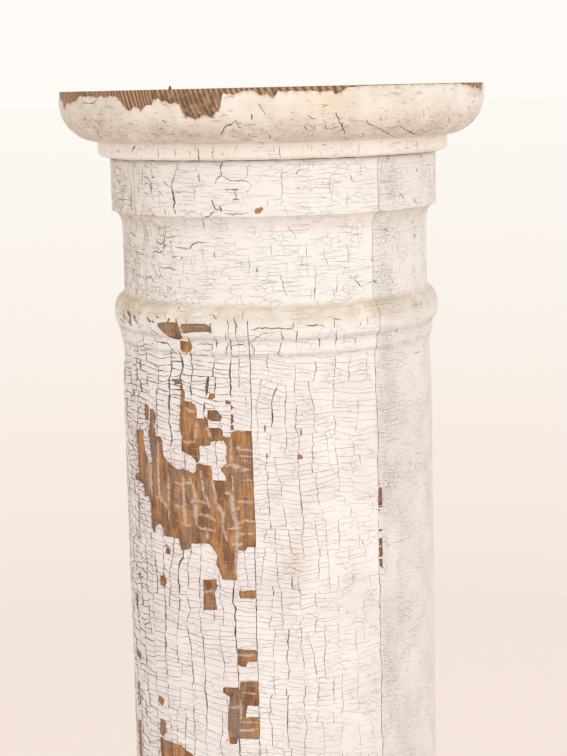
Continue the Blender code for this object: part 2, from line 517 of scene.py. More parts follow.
def wander(across, down, azimuth_start, outline):
    """Bends the crack lines: long waves of noise and short kinks, which give way to the joints' own pull."""
    head = outline.down_at(shaft_coat_drop)
    calm = soft_step(np.minimum(across, stave_width - across), 0, 5 * mm)
    calm_ends = soft_step(np.minimum(down - head, outline.length - down), 0, 5 * mm)
    sideways = layers(across, down, (1.8, 40, 901), (1.3, 12, 902), (0.95, 5, 903), (0.40, 2.2, 907)) * mm
    along = layers(across, down, (0.6, 34, 904), (0.45, 9, 905), (0.35, 3, 906)) * mm
    return across + sideways * calm + joint_pull(across, down, azimuth_start), down + along * calm_ends


def coat_relief(across, down):
    """The coat's own unevenness: brush-laid waves and small lumps, in metres."""
    return layers(across, down, (0.11, 21, 911), (0.05, 5, 912)) * mm


def spread(cells, template):
    """Each cell's four corners blended by the template's shares, first across and then down."""
    share_across, share_down = template[0][None, :, None], template[1][None, :, None]
    upper = cells[:, 0, None] * (1 - share_across) + cells[:, 1, None] * share_across
    lower = cells[:, 3, None] * (1 - share_across) + cells[:, 2, None] * share_across
    return np.moveaxis(upper * (1 - share_down) + lower * share_down, -1, 0)


def repeat_faces(template, count):
    """The template's faces, numbered for every one of count copies."""
    return (template[3][None] + (np.arange(count) * len(template[2]))[:, None, None]).reshape(-1, 4)


def open_share(azimuth, drop, run, down, upright, size, seed):
    """How open a crack is along its run, from 0 to 1, by a noise held against the share that is open."""
    chance = (smooth_noise(run, down, size * mm, seed) + 1) / 2
    return soft_step(crack_share(azimuth, drop, upright) - chance, -0.1, 0.1)


def flake_edges(across, down, azimuth, drop, run, sides, side, end):
    """How open the cracks along a flake's sides and ends are, from 0 to 1, and half their widths in metres.

    side and end are -1, 0 or 1: a point's place on the flake's left or right side, and on its top or foot.
    """
    at_joint = (across < 0.01 * mm) | (across > stave_width - 0.01 * mm)
    upright_open = np.maximum(open_share(azimuth, drop, run, down, True, 9, 921), at_joint)
    upright_open = upright_open * np.where(side > 0, sides[:, 1:2], sides[:, 3:]) * (side != 0)
    level_open = open_share(azimuth, drop, run, down, False, 6, 922)
    level_open = level_open * np.where(end > 0, sides[:, 2:3], sides[:, :1]) * (end != 0)
    joint_half = joint_crack * (1 + 0.5 * smooth_noise(run, down, 3 * mm, 923))
    upright_half = np.maximum(crack_width(azimuth, drop, run, down, True), least_crack)
    upright_half = np.where(at_joint, joint_half, upright_half)
    level_half = np.maximum(crack_width(azimuth, drop, run, down, False), least_level_crack)
    return upright_open, level_open, upright_half, level_half


def flake_points(cells, sides, template, azimuth_start, outline, seed):
    """Every flake of these cells at once, spread over the cell.

    The rim is drawn in by half the crack's width, the top by a small bevel more, and the foot sinks into
    the wood. Where a crack is closed the rim stays up and meets its neighbour, so no line shows.
    """
    share_across, share_down, ring = template[:3]
    across, down = spread(cells, template)
    azimuth, drop = place_of(np.stack([across, down], axis=-1), azimuth_start, outline)
    side = (share_across == 1) * 1.0 - (share_across == 0) * 1.0
    end = (share_down == 1) * 1.0 - (share_down == 0) * 1.0
    run = distance_round(azimuth)
    edges = flake_edges(across, down, azimuth, drop, run, sides, side, end)
    upright_open, level_open, upright_half, level_half = edges
    inset = (ring == 0) * flake_bevel
    splay = np.choose(ring, [1, 1, 0.6])
    across = across - side * upright_open * (upright_half * splay + inset)
    down = down - end * level_open * (level_half * splay + inset)
    open_edge = np.maximum(upright_open, level_open)
    dice = np.random.default_rng(seed + 11)
    loose = by_azimuth(azimuth, flake_looseness) * soft_step(drop, 150, 168)
    offset = dice.uniform(-0.14, 0.14, (len(cells), 1)) * mm
    lift = coat_relief(run, down) + loose * (open_edge * (flake_curl + offset) + 0.3 * offset)
    lift = lift - (ring == 1) * flake_bevel_drop * open_edge
    lift = np.where(ring == 2, -paint_coat - flake_sink, lift)
    across, down = wander(across, down, azimuth_start, outline)
    azimuth = azimuth_at(across, azimuth_start)
    parted = sides.min(axis=1) == 0
    azimuth[parted], down[parted] = drawn_to_edge(azimuth[parted], down[parted], outline)
    points = outline.place(azimuth, np.clip(down, 0, outline.length), lift)
    # The crack walls darken from rim to foot: dirt and painted shade in the cracks.
    shade = np.choose(ring, [0.0, 0.30, 1.0]) * np.where(ring == 2, 1, open_edge)
    tone = np.zeros(ring.shape) + dice.uniform(-1, 1, (len(cells), 1)) * sides.min(axis=1, keepdims=True)
    return points, repeat_faces(template, len(cells)), azimuth, down, shade, tone


def bare_plates(cells, azimuth_start, outline):
    """The wood where flakes are gone, a plate for each cell, greyer in some places."""
    share = np.linspace(0, 1, 3)
    template = (np.tile(share, 3), np.repeat(share, 3), np.zeros(9), grid_faces(3, 3))
    across, down = wander(*spread(cells, template), azimuth_start, outline)
    azimuth = azimuth_at(across, azimuth_start)
    run = distance_round(azimuth)
    lift = (0.05 + 0.04 * smooth_noise(run, down * 0.3, 2.2 * mm, 931)) * mm
    points = outline.place(azimuth, np.clip(down, 0, outline.length), lift - paint_coat)
    field = smooth_noise(run, down, 11 * mm, 933) + 0.6 * smooth_noise(run, down * 0.5, 3.5 * mm, 934)
    for place, drop, size, more in grey_places:
        near = np.exp(-((azimuth - place) / size[0]) ** 2 - ((down - outline.down_at(drop)) / size[1]) ** 2)
        field = field + more * near
    return points, repeat_faces(template, len(cells)), azimuth, down, 0 * down, soft_step(field, 0.05, 1.0)


# Cracks and pale lines laid on as narrow strips

def laid_strips(azimuth, down, half, outline, lift, rises, values, sides=(-1, -0.5, 0.5, 1)):
    """Narrow strips laid along paths: four points across, set off square to each path by half its width.

    Each row of azimuth, down and half is one path. Square means its direction turned by a right angle.
    """
    radius = outline.at(down, outline.radius)
    along, fall = np.gradient(np.radians(azimuth), axis=1) * radius, np.gradient(down, axis=1)
    length = np.hypot(along, fall)
    sides = np.array(sides)
    side_azimuth = azimuth[..., None] + np.degrees(fall / length / radius * half)[..., None] * sides
    side_down = down[..., None] - (along / length * half)[..., None] * sides
    points = outline.place(side_azimuth, side_down, lift(side_azimuth, side_down) + np.array(rises) * mm)
    count, steps = azimuth.shape
    faces = (grid_faces(steps, 4)[None] + (np.arange(count) * steps * 4)[:, None, None]).reshape(-1, 4)
    value = np.array(values) + 0 * side_down
    return points.reshape(count, -1, 3), faces, side_azimuth, side_down, value


def traced_paths(cracks, outline, steps=18, bolder=1.0):
    """Lines read from the photograph, as even rows of points with half their widths."""
    rows = []
    for width, places in cracks:
        azimuths, drops = np.array(places, dtype=float).T
        downs = outline.down_at(drops)
        pieces = np.hypot(np.diff(azimuths) * degree_width * mm, np.diff(downs))
        reach = np.concatenate([[0], np.cumsum(pieces)])
        even = np.linspace(0, reach[-1], steps)
        half = 0 * even + bolder * width / 2 * mm
        rows.append((np.interp(even, reach, azimuths), np.interp(even, reach, downs), half))
    return np.moveaxis(np.array(rows), 1, 0)


def lines_between(lines, start, stop):
    """The traced lines whose mean azimuth lies between these two."""
    return [line for line in lines if start <= np.mean(line[1], axis=0)[0] < stop]


def scattered_paths(reach, spacing, share, length, turn, half, seed, steps=7):
    """Short lines strewn over a band of coat, one by chance in each cell of a jittered lattice.

    reach is the band's azimuths and distances down. spacing and length are in metres, turn in degrees from
    level, and share gives the chance of a line from its azimuth and distance down.
    """
    dice = np.random.default_rng(seed)
    (start, stop), (head, foot) = reach
    pitch = np.degrees(spacing[0] / measuring_radius)
    middle = np.stack(np.meshgrid(np.arange(start, stop, pitch), np.arange(head, foot, spacing[1])), axis=-1)
    middle = middle.reshape(-1, 2)
    middle = middle + dice.uniform(0, 1, middle.shape) * (pitch, spacing[1])
    kept = dice.uniform(0, 1, len(middle)) < share(middle[:, 0], middle[:, 1])
    middle = middle[kept & (middle[:, 0] < stop) & (middle[:, 1] < foot)]
    turns = np.radians(turn[0] + dice.normal(0, turn[1], len(middle)))
    run = length * dice.uniform(0.35, 1.25, len(middle))[:, None] * np.linspace(-0.5, 0.5, steps)
    azimuth = middle[:, :1] + np.degrees(run * np.cos(turns)[:, None] / measuring_radius)
    down = np.clip(middle[:, 1:] + run * np.sin(turns)[:, None], head, foot)
    return azimuth, down, half * dice.uniform(0.6, 1.4, (len(middle), 1)) + 0 * run


def ragged(azimuth, down, half, seed, strength=0.45 * mm):
    """Makes paths jagged with noise, and lets their width waver and taper to the ends."""
    around = distance_round(azimuth)
    azimuth = azimuth + np.degrees(strength / measuring_radius) * smooth_noise(around, down, 1.9 * mm, seed)
    down = down + strength * smooth_noise(around, down, 1.6 * mm, seed + 1)
    taper = np.sin(np.linspace(0.14, np.pi - 0.14, azimuth.shape[1])) ** 0.5
    return azimuth, down, half * taper * (1 + 0.6 * smooth_noise(around, down, 1.9 * mm, seed + 2))


def crack_strips(paths, outline, lift, seed, depth=1.0, strength=0.45 * mm):
    """Jagged cracks along these paths, dark with dirt and painted shade between two lips of paint."""
    paths = ragged(*paths, seed, strength)
    return laid_strips(*paths, outline, lift, (0.0, 0.06, 0.06, 0.0), (0.1, depth, depth, 0.1))


def with_noughts(strips, count):
    """The strips that have points, each with count more values that are nought all over."""
    return [(*strip, *[0 * strip[4]] * count) for strip in strips if strip[0].size]


def strewn_cracks(families, reach, outline, lift, path_seed, strip_seed):
    """Cracks strewn over a band of coat, family by family, each with its spacing, chance, size and look."""
    strips = []
    for rank, (spacing, chance, length, turn, half, depth, strength) in enumerate(families):
        paths = scattered_paths(reach, spacing, chance, length, turn, half, path_seed + rank)
        strips.append(crack_strips(paths, outline, lift, strip_seed + rank, depth, strength))
    return strips


# The mouldings above the shaft: a thick whole coat. Its cracks were read from the photograph, each as a
# width in millimetres and its (azimuth, drop) points.

neck_cracks = [
    (0.35, [(-32.4, 43.1), (-34.4, 50.9), (-35.1, 55.0), (-35.7, 58.5)]),
    (0.9, [(-35.7, 58.5), (-34.5, 66.1), (-34.9, 70.6)]),
    (0.35, [(-34.9, 70.6), (-34.3, 74.7)]),
    (0.5, [(-16.5, 42.7), (-17.3, 48.4), (-16.7, 50.4)]),
    (0.3, [(-16.7, 50.4), (-18.5, 52.8), (-19.0, 55.8)]),
    (0.35, [(-16.7, 50.4), (-14.8, 53.4), (-13.4, 54.1), (-8.7, 54.0), (-7.4, 56.0)]),
    (0.4, [(-7.1, 44.6), (-8.2, 46.1), (-8.4, 51.1), (-9.2, 53.0)]),
    (0.35, [(-7.4, 56.0), (-7.1, 57.5), (-8.0, 59.5), (-8.9, 60.4), (-8.8, 63.0)]),
    (0.6, [(-48.2, 51.9), (-45.6, 53.8), (-44.9, 56.3), (-44.8, 62.9)]),
    (0.5, [(-44.8, 52.5), (-42.7, 52.1)]),
    (0.5, [(-33.7, 61.2), (-31.3, 61.2)]),
    (0.5, [(-15.5, 59.5), (-12.4, 59.1)]),
    (0.35, [(-12.4, 59.1), (-12.3, 65.4)]),
    (0.5, [(-20.8, 65.3), (-19.4, 69.8), (-18.6, 70.8), (-17.7, 70.3)]),
    (0.5, [(-17.6, 69.3), (-17.5, 72.3)]),
    (0.45, [(-19.4, 71.3), (-20.9, 73.3), (-21.9, 75.3), (-24.3, 76.1)]),
    (0.45, [(-25.0, 49.3), (-24.6, 51.8), (-25.1, 54.8)]),
    (0.35, [(-16.6, 73.0), (-14.3, 73.8), (-8.5, 73.5)]),
    (0.45, [(-62.6, 57.9), (-62.1, 61.5), (-64.2, 71.2), (-67.2, 76.2)]),
    (0.4, [(-56.1, 58.5), (-57.1, 74.7)]),
    (0.4, [(-68.4, 67.3), (-60.3, 67.2)]),
    (0.5, [(-43.3, 86.4), (-43.3, 97.8)]),
    (0.55, [(-46.5, 92.9), (-43.5, 93.7)]),
    (0.45, [(-49.7, 99.0), (-43.7, 98.2)]),
    (0.35, [(-43.2, 89.5), (-38.6, 89.0)]),
    (0.45, [(-55.6, 117.6), (-54.4, 115.3), (-51.7, 114.4), (-49.3, 118.3)]),
    (0.35, [(-46.1, 108.5), (-45.9, 112.7), (-47.6, 116.0)]),
    (0.35, [(-46.1, 108.0), (-42.1, 108.1), (-37.6, 108.7)]),
    (0.35, [(-37.6, 95.1), (-31.0, 95.4), (-30.2, 92.3), (-27.4, 91.5), (-23.4, 91.3)]),
    (0.3, [(-9.1, 99.1), (-9.2, 111.8)]),
    (0.3, [(-21.6, 96.6), (-21.6, 101.2)]),
    (0.35, [(-24.7, 76.4), (-25.0, 79.1), (-25.0, 83.9)]),
    (0.45, [(-66.9, 88.2), (-61.2, 90.7)]),
    (0.35, [(-64.2, 100.2), (-55.2, 101.7)]),
    (0.35, [(2.7, 46.4), (2.6, 58.8), (2.9, 68.0)]),
    (0.4, [(7.3, 51.6), (8.1, 49.2), (9.7, 48.7)]),
    (0.35, [(24.6, 62.1), (24.8, 64.6), (24.2, 66.4), (24.3, 72.0)]),
    (0.6, [(54.8, 67.9), (55.5, 71.1), (56.9, 72.6)]),
    (0.45, [(46.9, 65.6), (48.7, 68.8)]),
    (0.6, [(29.3, 114.1), (29.4, 117.3), (31.3, 120.1), (31.6, 121.4)]),
    (0.35, [(4.4, 79.5), (4.8, 83.5), (7.0, 88.0), (7.2, 90.5)]),
    (0.4, [(1.3, 110.3), (2.5, 115.4), (2.6, 120.5), (3.8, 124.3)]),
    (0.3, [(10.8, 93.2), (10.9, 102.1)]),
    (0.3, [(14.2, 108.6), (13.6, 127.5)]),
    (0.3, [(26.1, 94.0), (26.6, 106.8)]),
    (0.3, [(17.3, 96.3), (17.5, 101.4), (19.0, 107.9)]),
    (0.3, [(22.1, 113.2), (21.7, 124.6)]),
    (0.3, [(-1.3, 87.6), (0.7, 90.8)]),
    (0.7, [(-8.8, 143.3), (-4.6, 142.1), (-1.9, 142.2), (1.4, 143.0), (5.2, 142.5)]),
    (0.4, [(5.2, 142.5), (5.9, 138.8)]),
    (0.7, [(9.6, 141.4), (13.8, 141.4)]),
    (0.4, [(13.8, 141.4), (15.9, 142.9)]),
    (0.45, [(18.8, 143.9), (19.0, 138.2), (21.8, 139.5)]),
    (0.35, [(31.5, 143.3), (31.2, 139.4)]),
    (0.5, [(-9.2, 152.8), (-7.8, 155.3), (-7.9, 160.5)]),
    (0.45, [(1.4, 143.6), (1.9, 148.9), (1.0, 155.5), (-0.1, 158.7), (2.0, 160.1)]),
    (0.6, [(-63.7, 140.9), (-61.5, 143.7), (-58.3, 146.9)]),
    (0.6, [(-58.2, 139.2), (-55.4, 143.1), (-54.8, 146.8)]),
    (0.4, [(-47.5, 141.7), (-47.1, 146.7), (-44.3, 148.8)]),
    (0.5, [(-52.0, 156.8), (-46.1, 154.5), (-41.0, 154.3), (-39.2, 157.1), (-38.1, 160.8)]),
    (0.4, [(-14.4, 135.1), (-13.0, 140.4), (-13.7, 142.2)]),
    (0.35, [(-28.1, 153.3), (-22.7, 152.9), (-22.4, 156.6), (-28.1, 157.0)]),
    (0.35, [(-16.9, 145.4), (-16.9, 153.2), (-17.7, 159.4)]),
    (0.35, [(-16.9, 153.2), (-10.6, 153.1)]),
    (0.35, [(-8.9, 152.1), (-7.6, 149.6), (-4.9, 145.3), (-0.7, 144.8)]),
    (0.8, [(-71.4, 139.5), (-69.8, 143.0), (-68.5, 146.5)]),
    (1.5, [(-67.5, 138.0), (-66.4, 141.8), (-64.6, 143.2)]),
    (0.6, [(-66.0, 143.9), (-64.2, 147.4)]),
    (1.2, [(-62.7, 137.2), (-60.4, 139.9), (-59.6, 144.9)]),
    (0.6, [(-57.2, 139.2), (-56.0, 142.2)]),
    (0.6, [(-54.8, 136.6), (-52.6, 139.6), (-51.9, 144.4)]),
    (0.8, [(-49.4, 138.8), (-47.9, 140.9), (-45.0, 141.4)]),
    (0.4, [(-44.6, 137.3), (-43.0, 138.6)]),
    (0.35, [(-40.9, 135.2), (-39.9, 139.6)]),
    (0.30, [(-56, 160.3), (-48, 160.6), (-40, 160.4), (-32, 160.4)]),
    (0.30, [(-32, 160.3), (-24, 160.5), (-16, 160.3), (-9.6, 160.4)]),
    (0.28, [(-9.4, 160.4), (0, 160.3), (9, 160.5)]),
    (0.25, [(9, 160.5), (18, 160.3), (30, 160.4)]),
]


def neck_relief(azimuth, down):
    """The coat's unevenness over the mouldings: brush-laid waves, and lumps under the bead at the left."""
    around = distance_round(azimuth)
    waves = coat_relief(around, down) + 0.04 * mm * smooth_noise(around * 0.4, down, 1.9 * mm, 851)
    low = soft_step(down, 0.097, 0.103)
    low_left = soft_step(-azimuth, 40, 56) * low * soft_fall(-azimuth, 120, 140)
    return waves + low_left * 0.5 * mm * smooth_noise(around, down, 2.4 * mm, 853)


def neck_crack_strips(index, azimuth_start, outline):
    """The cracks in one stave's coat above the shaft: the traced ones, and finer ones strewn between."""
    stop = azimuth_start + stave_degrees
    traced = lines_between(neck_cracks, azimuth_start, stop)
    head, foot = outline.down_at(42.8), outline.down_at(shaft_coat_drop - 1)

    def share(front, left, right, behind):
        def chance(azimuth, down):
            drop = outline.drop_at(down)
            hollow = hump(drop, 81, 5) + soft_step(drop, 122, 128)
            crowded = 0.75 + 0.6 * smooth_noise(distance_round(azimuth), down, 13 * mm, 852)
            around = np.interp(azimuth, (-180, -110, -80, -50, -30, 30, 42, 90, 120, 180),
                               (behind, left, left, left, front, front, right, right, behind, behind))
            return around * crowded * (1 - 0.6 * np.clip(hollow, 0, 1))
        return chance

    reach = (azimuth_start + 0.6, stop - 0.6), (head, foot)
    families = [
        ((8.5 * mm, 2.7 * mm), share(0.95, 1.0, 0.22, 0.4), 12.5 * mm, (0, 3), 0.10 * mm, 0.80, 0.24 * mm),
        ((9 * mm, 8 * mm), share(0.26, 1.1, 0.35, 0.5), 7 * mm, (90, 6), 0.15 * mm, 0.95, 0.4 * mm),
        ((4 * mm, 3.0 * mm), share(0.10, 0.35, 0.90, 0.1), 2.0 * mm, (75, 35), 0.12 * mm, 0.8, 0.3 * mm),
        ((6.5 * mm, 5 * mm), share(0.02, 1.0, 0.1, 0.2), 4.5 * mm, (45, 40), 0.32 * mm, 1.0, 0.6 * mm)]
    strips = strewn_cracks(families, reach, outline, neck_relief, 3000 + 17 * index, 3100)
    if traced:
        paths = traced_paths(traced, outline, bolder=1.9 if azimuth_start < -50 else 1.2)
        strips.append(crack_strips(paths, outline, neck_relief, 3200, strength=0.6 * mm))
    return with_noughts(strips, 1)


def neck_coat(index, azimuth_start, outline, columns, rows):
    """A stave's coat from the band down to the bead, as one skin.

    Its border turns down to the wood along the open joints, and meets its neighbour where a joint is closed.
    """
    halves = [neck_joint_halves[(index + side) % stave_count] * mm for side in (0, 1)]
    bevels = [flake_bevel * (half > 0) for half in halves]
    across = np.linspace(halves[0] + bevels[0], stave_width - halves[1] - bevels[1], columns)
    rank = np.full(columns, 2)
    if halves[0]:
        across, rank = np.append([halves[0]] * 2, across), np.append([0, 1], rank)
    if halves[1]:
        across, rank = np.append(across, [stave_width - halves[1]] * 2), np.append(rank, [1, 0])
    foot = outline.down_at(shaft_coat_drop)
    down = np.concatenate([[0, 0], np.linspace(flake_bevel, foot, rows)])[:, None] + 0 * across
    rank = np.minimum(rank, np.append([0, 1], np.full(rows, 2))[:, None])
    across = across + 0 * down
    azimuth = azimuth_at(across + joint_pull(across, down, azimuth_start), azimuth_start)
    lift = neck_relief(azimuth, down)
    lift = np.where(rank == 1, lift - flake_bevel_drop, np.where(rank == 0, -paint_coat - flake_sink, lift))
    # The turned-down border darkens: dirt and painted shade in the open joint.
    crack = np.choose(rank, [1.0, 0.3, 0.0])
    return outline.place(azimuth, down, lift), grid_faces(*down.shape), azimuth, down, crack, 0 * down


# Where the coat is lost: outlines as (azimuth, drop) points read from the photograph

bare_patches = {
    "large patch": [(-63.9, 215.3), (-55.5, 211.8), (-54.5, 213.2), (-53.3, 207.7), (-50.5, 206.9),
        (-49.3, 215.3), (-45.8, 214.2), (-45.9, 224.4), (-44.4, 228.6), (-41.4, 231.7), (-38.6, 233.9),
        (-37.2, 232.3), (-34.5, 233.4), (-32, 234.8), (-30.9, 233.3), (-30.2, 228.8), (-31, 226),
        (-33, 223.9), (-35.2, 222.7), (-37, 224.3), (-36.9, 217.9), (-36.3, 212.7), (-37.5, 208.2),
        (-36.8, 192.7), (-36.5, 184.5), (-34.7, 182.9), (-34.6, 189.8), (-30.4, 191), (-29.7, 194.1),
        (-29.7, 199.7), (-25.7, 199.5), (-25.5, 194.2), (-21.8, 194.1), (-19.8, 198), (-19.8, 210.1),
        (-17, 210.5), (-16.6, 190.4), (-16.4, 184.8), (-15.7, 184.8), (-15.8, 206.4), (-9.4, 206.2),
        (-9.3, 230.5), (-9.2, 249.4), (-8.9, 268.4), (-9, 279.5), (-11.9, 279.3), (-13, 282), (-15.5, 281.8),
        (-16.2, 300.8), (-21.5, 301.2), (-22.8, 294.6), (-23.9, 292.3), (-23.2, 286.3), (-24.5, 282.4),
        (-26.3, 278.9), (-33.4, 280.3), (-33.7, 284), (-38.5, 285.9), (-39.7, 278.4), (-46.7, 279.2),
        (-47.4, 274.2), (-49, 271.8), (-51.2, 274.2), (-51.7, 277.9), (-54.3, 279.2), (-54.7, 261.5),
        (-55.5, 256.2), (-59.3, 257.6), (-59.4, 250), (-63.7, 248.2), (-67, 249.4), (-66.7, 244.7),
        (-63.5, 243.5), (-63.3, 231.6)],
    "small, under the fillet": [(-40.2, 176.6), (-35.8, 176.6), (-36.3, 179.4), (-39.5, 179.9)],
    "small, upper left": [(-56.9, 196.4), (-53.7, 196.2), (-53.6, 205.2), (-56.4, 206.2)],
    "beside it": [(-53.2, 198), (-50.3, 197.9), (-49.1, 202.1), (-49.6, 206.7), (-53.5, 207.7)],
    "small, upper middle": [(-25.5, 184.3), (-22.4, 183.3), (-22.3, 188.9), (-23.6, 187.5), (-25.3, 187.6)],
    "small, upper right": [(-20.6, 189.1), (-18.7, 187.4), (-16.4, 187.3), (-16.6, 190), (-18.6, 189.9),
        (-19.5, 191.5), (-20.4, 190.6)],
    "left nick": [(-46.3, 284.3), (-43.1, 285.6), (-43.8, 290.4), (-46.5, 290.3)],
    "first square": [(-29.2, 302.4), (-23.8, 301.6), (-23.7, 306.4), (-22.4, 308.2), (-24.6, 310.2),
        (-23.8, 321.1), (-29.4, 322.6)],
    "slot": [(-15.5, 307.9), (-9.3, 306.7), (-9.4, 312.2), (-16, 312.4)],
    "second square": [(-16.5, 345.6), (-9.3, 345.6), (-9.4, 353.1), (-13, 353.7), (-13.8, 357.7),
        (-16.7, 356.1)],
    "third square": [(-15.9, 366.5), (-9.3, 366.2), (-9.5, 382.3), (-13.4, 382.4), (-14.2, 387.4),
        (-13.9, 390.3), (-9.4, 389.6), (-9.4, 404.2), (-17.4, 404.8), (-17.9, 408.6), (-20.7, 408.8),
        (-20.8, 405.1), (-21.3, 399.2), (-20.7, 385.2), (-20, 377.7), (-22.6, 375), (-22.6, 371.6),
        (-17.3, 371), (-16.2, 372.5)],
    "left square": [(-50.1, 306.8), (-46.3, 304.4), (-46.2, 310), (-48, 313.3), (-50.3, 312.6)],
    "left low": [(-53.9, 388.4), (-49.4, 388.6), (-50.8, 394), (-53.8, 396.3)],
    "left lower": [(-53.1, 403.4), (-49.3, 404.2), (-49, 411.6), (-51.9, 416.5), (-53.8, 414.8)],
    "foot of the view": [(-53.9, 417), (-48.8, 417), (-41.7, 416.9), (-36, 420.6), (-34.9, 431),
        (-53.4, 440.2)],
    "flank slot": [(-72.5, 327.8), (-68.2, 327), (-68, 336.5), (-71.6, 339)],
    "flank nick": [(-77.6, 364), (-73.3, 367.1), (-66.5, 368.1), (-68.6, 373.4), (-74.6, 371.4)],
    "flank line": [(-75.1, 390.6), (-71.5, 389.8), (-69.5, 404), (-72.7, 406.7)],
    "flank foot": [(-77, 418.8), (-69.6, 415.3), (-70.4, 444.2), (-76, 448.1)],
    "right joint slot": [(36.5, 247.7), (38.2, 248.2), (38.5, 263.7), (36.5, 263.1)],
    "right joint slot below": [(36.5, 272.8), (38.2, 273.4), (38.2, 300), (36.6, 299.5)],
    "under the bead, left": [(-43.9, 141.8), (-40.1, 140.6), (-34.9, 140), (-34.4, 143), (-33.2, 146.6),
        (-33.8, 150.3), (-36, 151.6), (-40, 150.5), (-41.6, 147.1), (-43.7, 144.2)],
    "under the bead, bar": [(-33.3, 140.7), (-21.9, 139.8), (-21.9, 145.6), (-23.2, 145.1), (-26.5, 145.3),
        (-33.7, 147)],
    "below that": [(-35.5, 152.2), (-30.2, 151.9), (-30.1, 155.4), (-31, 158), (-32.7, 159.4),
        (-34.4, 159.3), (-35.6, 157.3)],
}
kept_islands = {
    "sliver": [(-57.6, 214.7), (-54.6, 213.8), (-53.9, 222.1), (-52.9, 232.9), (-54.7, 234), (-55.9, 229.2),
        (-57.5, 223.1)],
    "right group": [(-28.9, 217.2), (-24.2, 216.2), (-24.5, 213.8), (-19.8, 212.6), (-18.8, 216),
        (-18.7, 221), (-19.1, 222.9), (-18.6, 226.7), (-20.5, 229.4), (-20.9, 231.3), (-18.8, 236.7),
        (-19.1, 238), (-24, 238), (-24.6, 229.2), (-29, 228.3)],
    "small flake": [(-25.3, 200.7), (-20.7, 200.7), (-20.6, 204.9), (-25.3, 205.4)],
}

# On the bare wood: pale lines where the old cracks ran, each a width and its (azimuth, drop) points, and
# grey places, each an azimuth, a drop, its sizes in degrees and metres, and its strength

ghost_lines = [
    (1.2, [(-54, 233.8), (-54.4, 245), (-54.2, 258.1)]),
    (1.4, [(-49.3, 217.6), (-49.5, 230.6), (-49.6, 243.6), (-49.3, 253.2), (-48.5, 256.3), (-46.3, 258.2),
          (-44.8, 260.3), (-43.8, 263.3)]),
    (1.1, [(-44.1, 237.5), (-44.2, 248.5), (-44.2, 258.2), (-44.5, 268.1)]),
    (1.5, [(-36.4, 237), (-36.8, 246.7), (-36.8, 256.3), (-36.6, 265.9), (-36.3, 270.4)]),
    (1.5, [(-33.8, 238.3), (-32.6, 243.2), (-31.8, 246.9), (-32, 255.2), (-31.7, 261.6), (-31.4, 268)]),
    (1.4, [(-29.1, 233), (-28.8, 238.7), (-28.4, 243.1), (-28.1, 248.1), (-26.6, 251.1), (-25.9, 256.1)]),
    (1.3, [(-24.8, 236.8), (-24.1, 242.4), (-23.5, 249.3), (-22.8, 255), (-21.3, 257.3), (-20.6, 260.4),
          (-21.1, 266.2), (-21.2, 269.4), (-20.1, 271.8), (-19.4, 276.8)]),
    (1.7, [(-17.3, 234.1), (-16.6, 237.2), (-17, 243.5), (-17.5, 249.9), (-17.3, 256.2), (-16.6, 261.2),
          (-15.9, 265), (-15.7, 275.2), (-16.3, 288), (-16.5, 299.6)]),
    (1.3, [(-17.3, 212.1), (-17, 218.4), (-17.1, 226.5)]),
    (1, [(-15.1, 213.9), (-14.1, 218.2), (-13.8, 221.9)]),
    (1.3, [(-20.8, 229.4), (-18.6, 228.5), (-17.1, 227.2), (-15.4, 228.9), (-13.3, 230.7), (-10.1, 230.5)]),
    (0.8, [(-41.2, 242.6), (-37.9, 243.7), (-36.5, 242.1), (-33.4, 241.5)]),
    (1, [(-20, 245.7), (-17.4, 246.1)]),
    (1.1, [(-33.7, 253.7), (-30.7, 252.4), (-28.2, 253.3), (-25.5, 254.7)]),
    (0.8, [(-52.1, 255.4), (-48.5, 254.9)]),
    (1, [(-43.1, 256.6), (-39.7, 257.7), (-36.4, 258.1)]),
    (0.9, [(-31.7, 261.6), (-27.6, 261.4), (-24.9, 262.3), (-23.4, 264.6)]),
    (1, [(-31.4, 268.6), (-29, 270), (-26.6, 270.2), (-23.9, 270.4)]),
    (1.1, [(-27.4, 270.4), (-27.1, 278)]),
    (0.8, [(-18, 255.7), (-14.4, 255.3)]),
    (1.1, [(-15.4, 251), (-12.2, 251.1), (-9.4, 251)]),
    (0.8, [(-11.9, 236.9), (-9.8, 237.4)]),
    (0.7, [(-13.8, 218.2), (-9.6, 218.6)]),
    (0.7, [(-13.8, 221.9), (-9.6, 222.4)]),
    (0.7, [(-13.9, 225.7), (-9.7, 224.9)]),
    (0.9, [(-15.9, 265), (-12.7, 262.8), (-9.2, 263.3)]),
    (0.8, [(-18.9, 268.5), (-14.5, 267.4)]),
    (0.9, [(-15.7, 272), (-9.3, 270.9)]),
    (0.8, [(-38.5, 268.3), (-34, 269.2)]),
    (0.8, [(-17.6, 278.5), (-13.6, 277.5)]),
    (1.2, [(-34.4, 143), (-33.6, 146), (-33.5, 149.9)]),
    (0.9, [(-35.1, 193.6), (-33.3, 195.8), (-30.8, 196.1)]),
    (1.2, [(-30.1, 201.6), (-30.5, 206.1), (-31.1, 213.7)]),
    (0.9, [(-26.5, 203.6), (-25.4, 207.9), (-24.3, 212.8)]),
    (1.1, [(-36.3, 215.3), (-33.7, 216.1), (-30.7, 214.3)]),
    (1, [(-20.5, 385.1), (-14.9, 383.5)]),
    (0.8, [(-17.3, 393.8), (-10, 393.6)]),
    (0.9, [(-17, 399.8), (-10.1, 398.2)]),
    (1, [(-29, 310.8), (-24.2, 309.4)]),
    (1.2, [(-16.3, 379.1), (-16.1, 387), (-16.6, 395.7)]),
    (1.1, [(-55.5, 219.3), (-55.3, 232.3), (-55.7, 252)]),
    (1, [(-16.9, 349.6), (-10.1, 349.6)]),
    (0.8, [(-15.9, 374.4), (-10.1, 374.5)]),
]
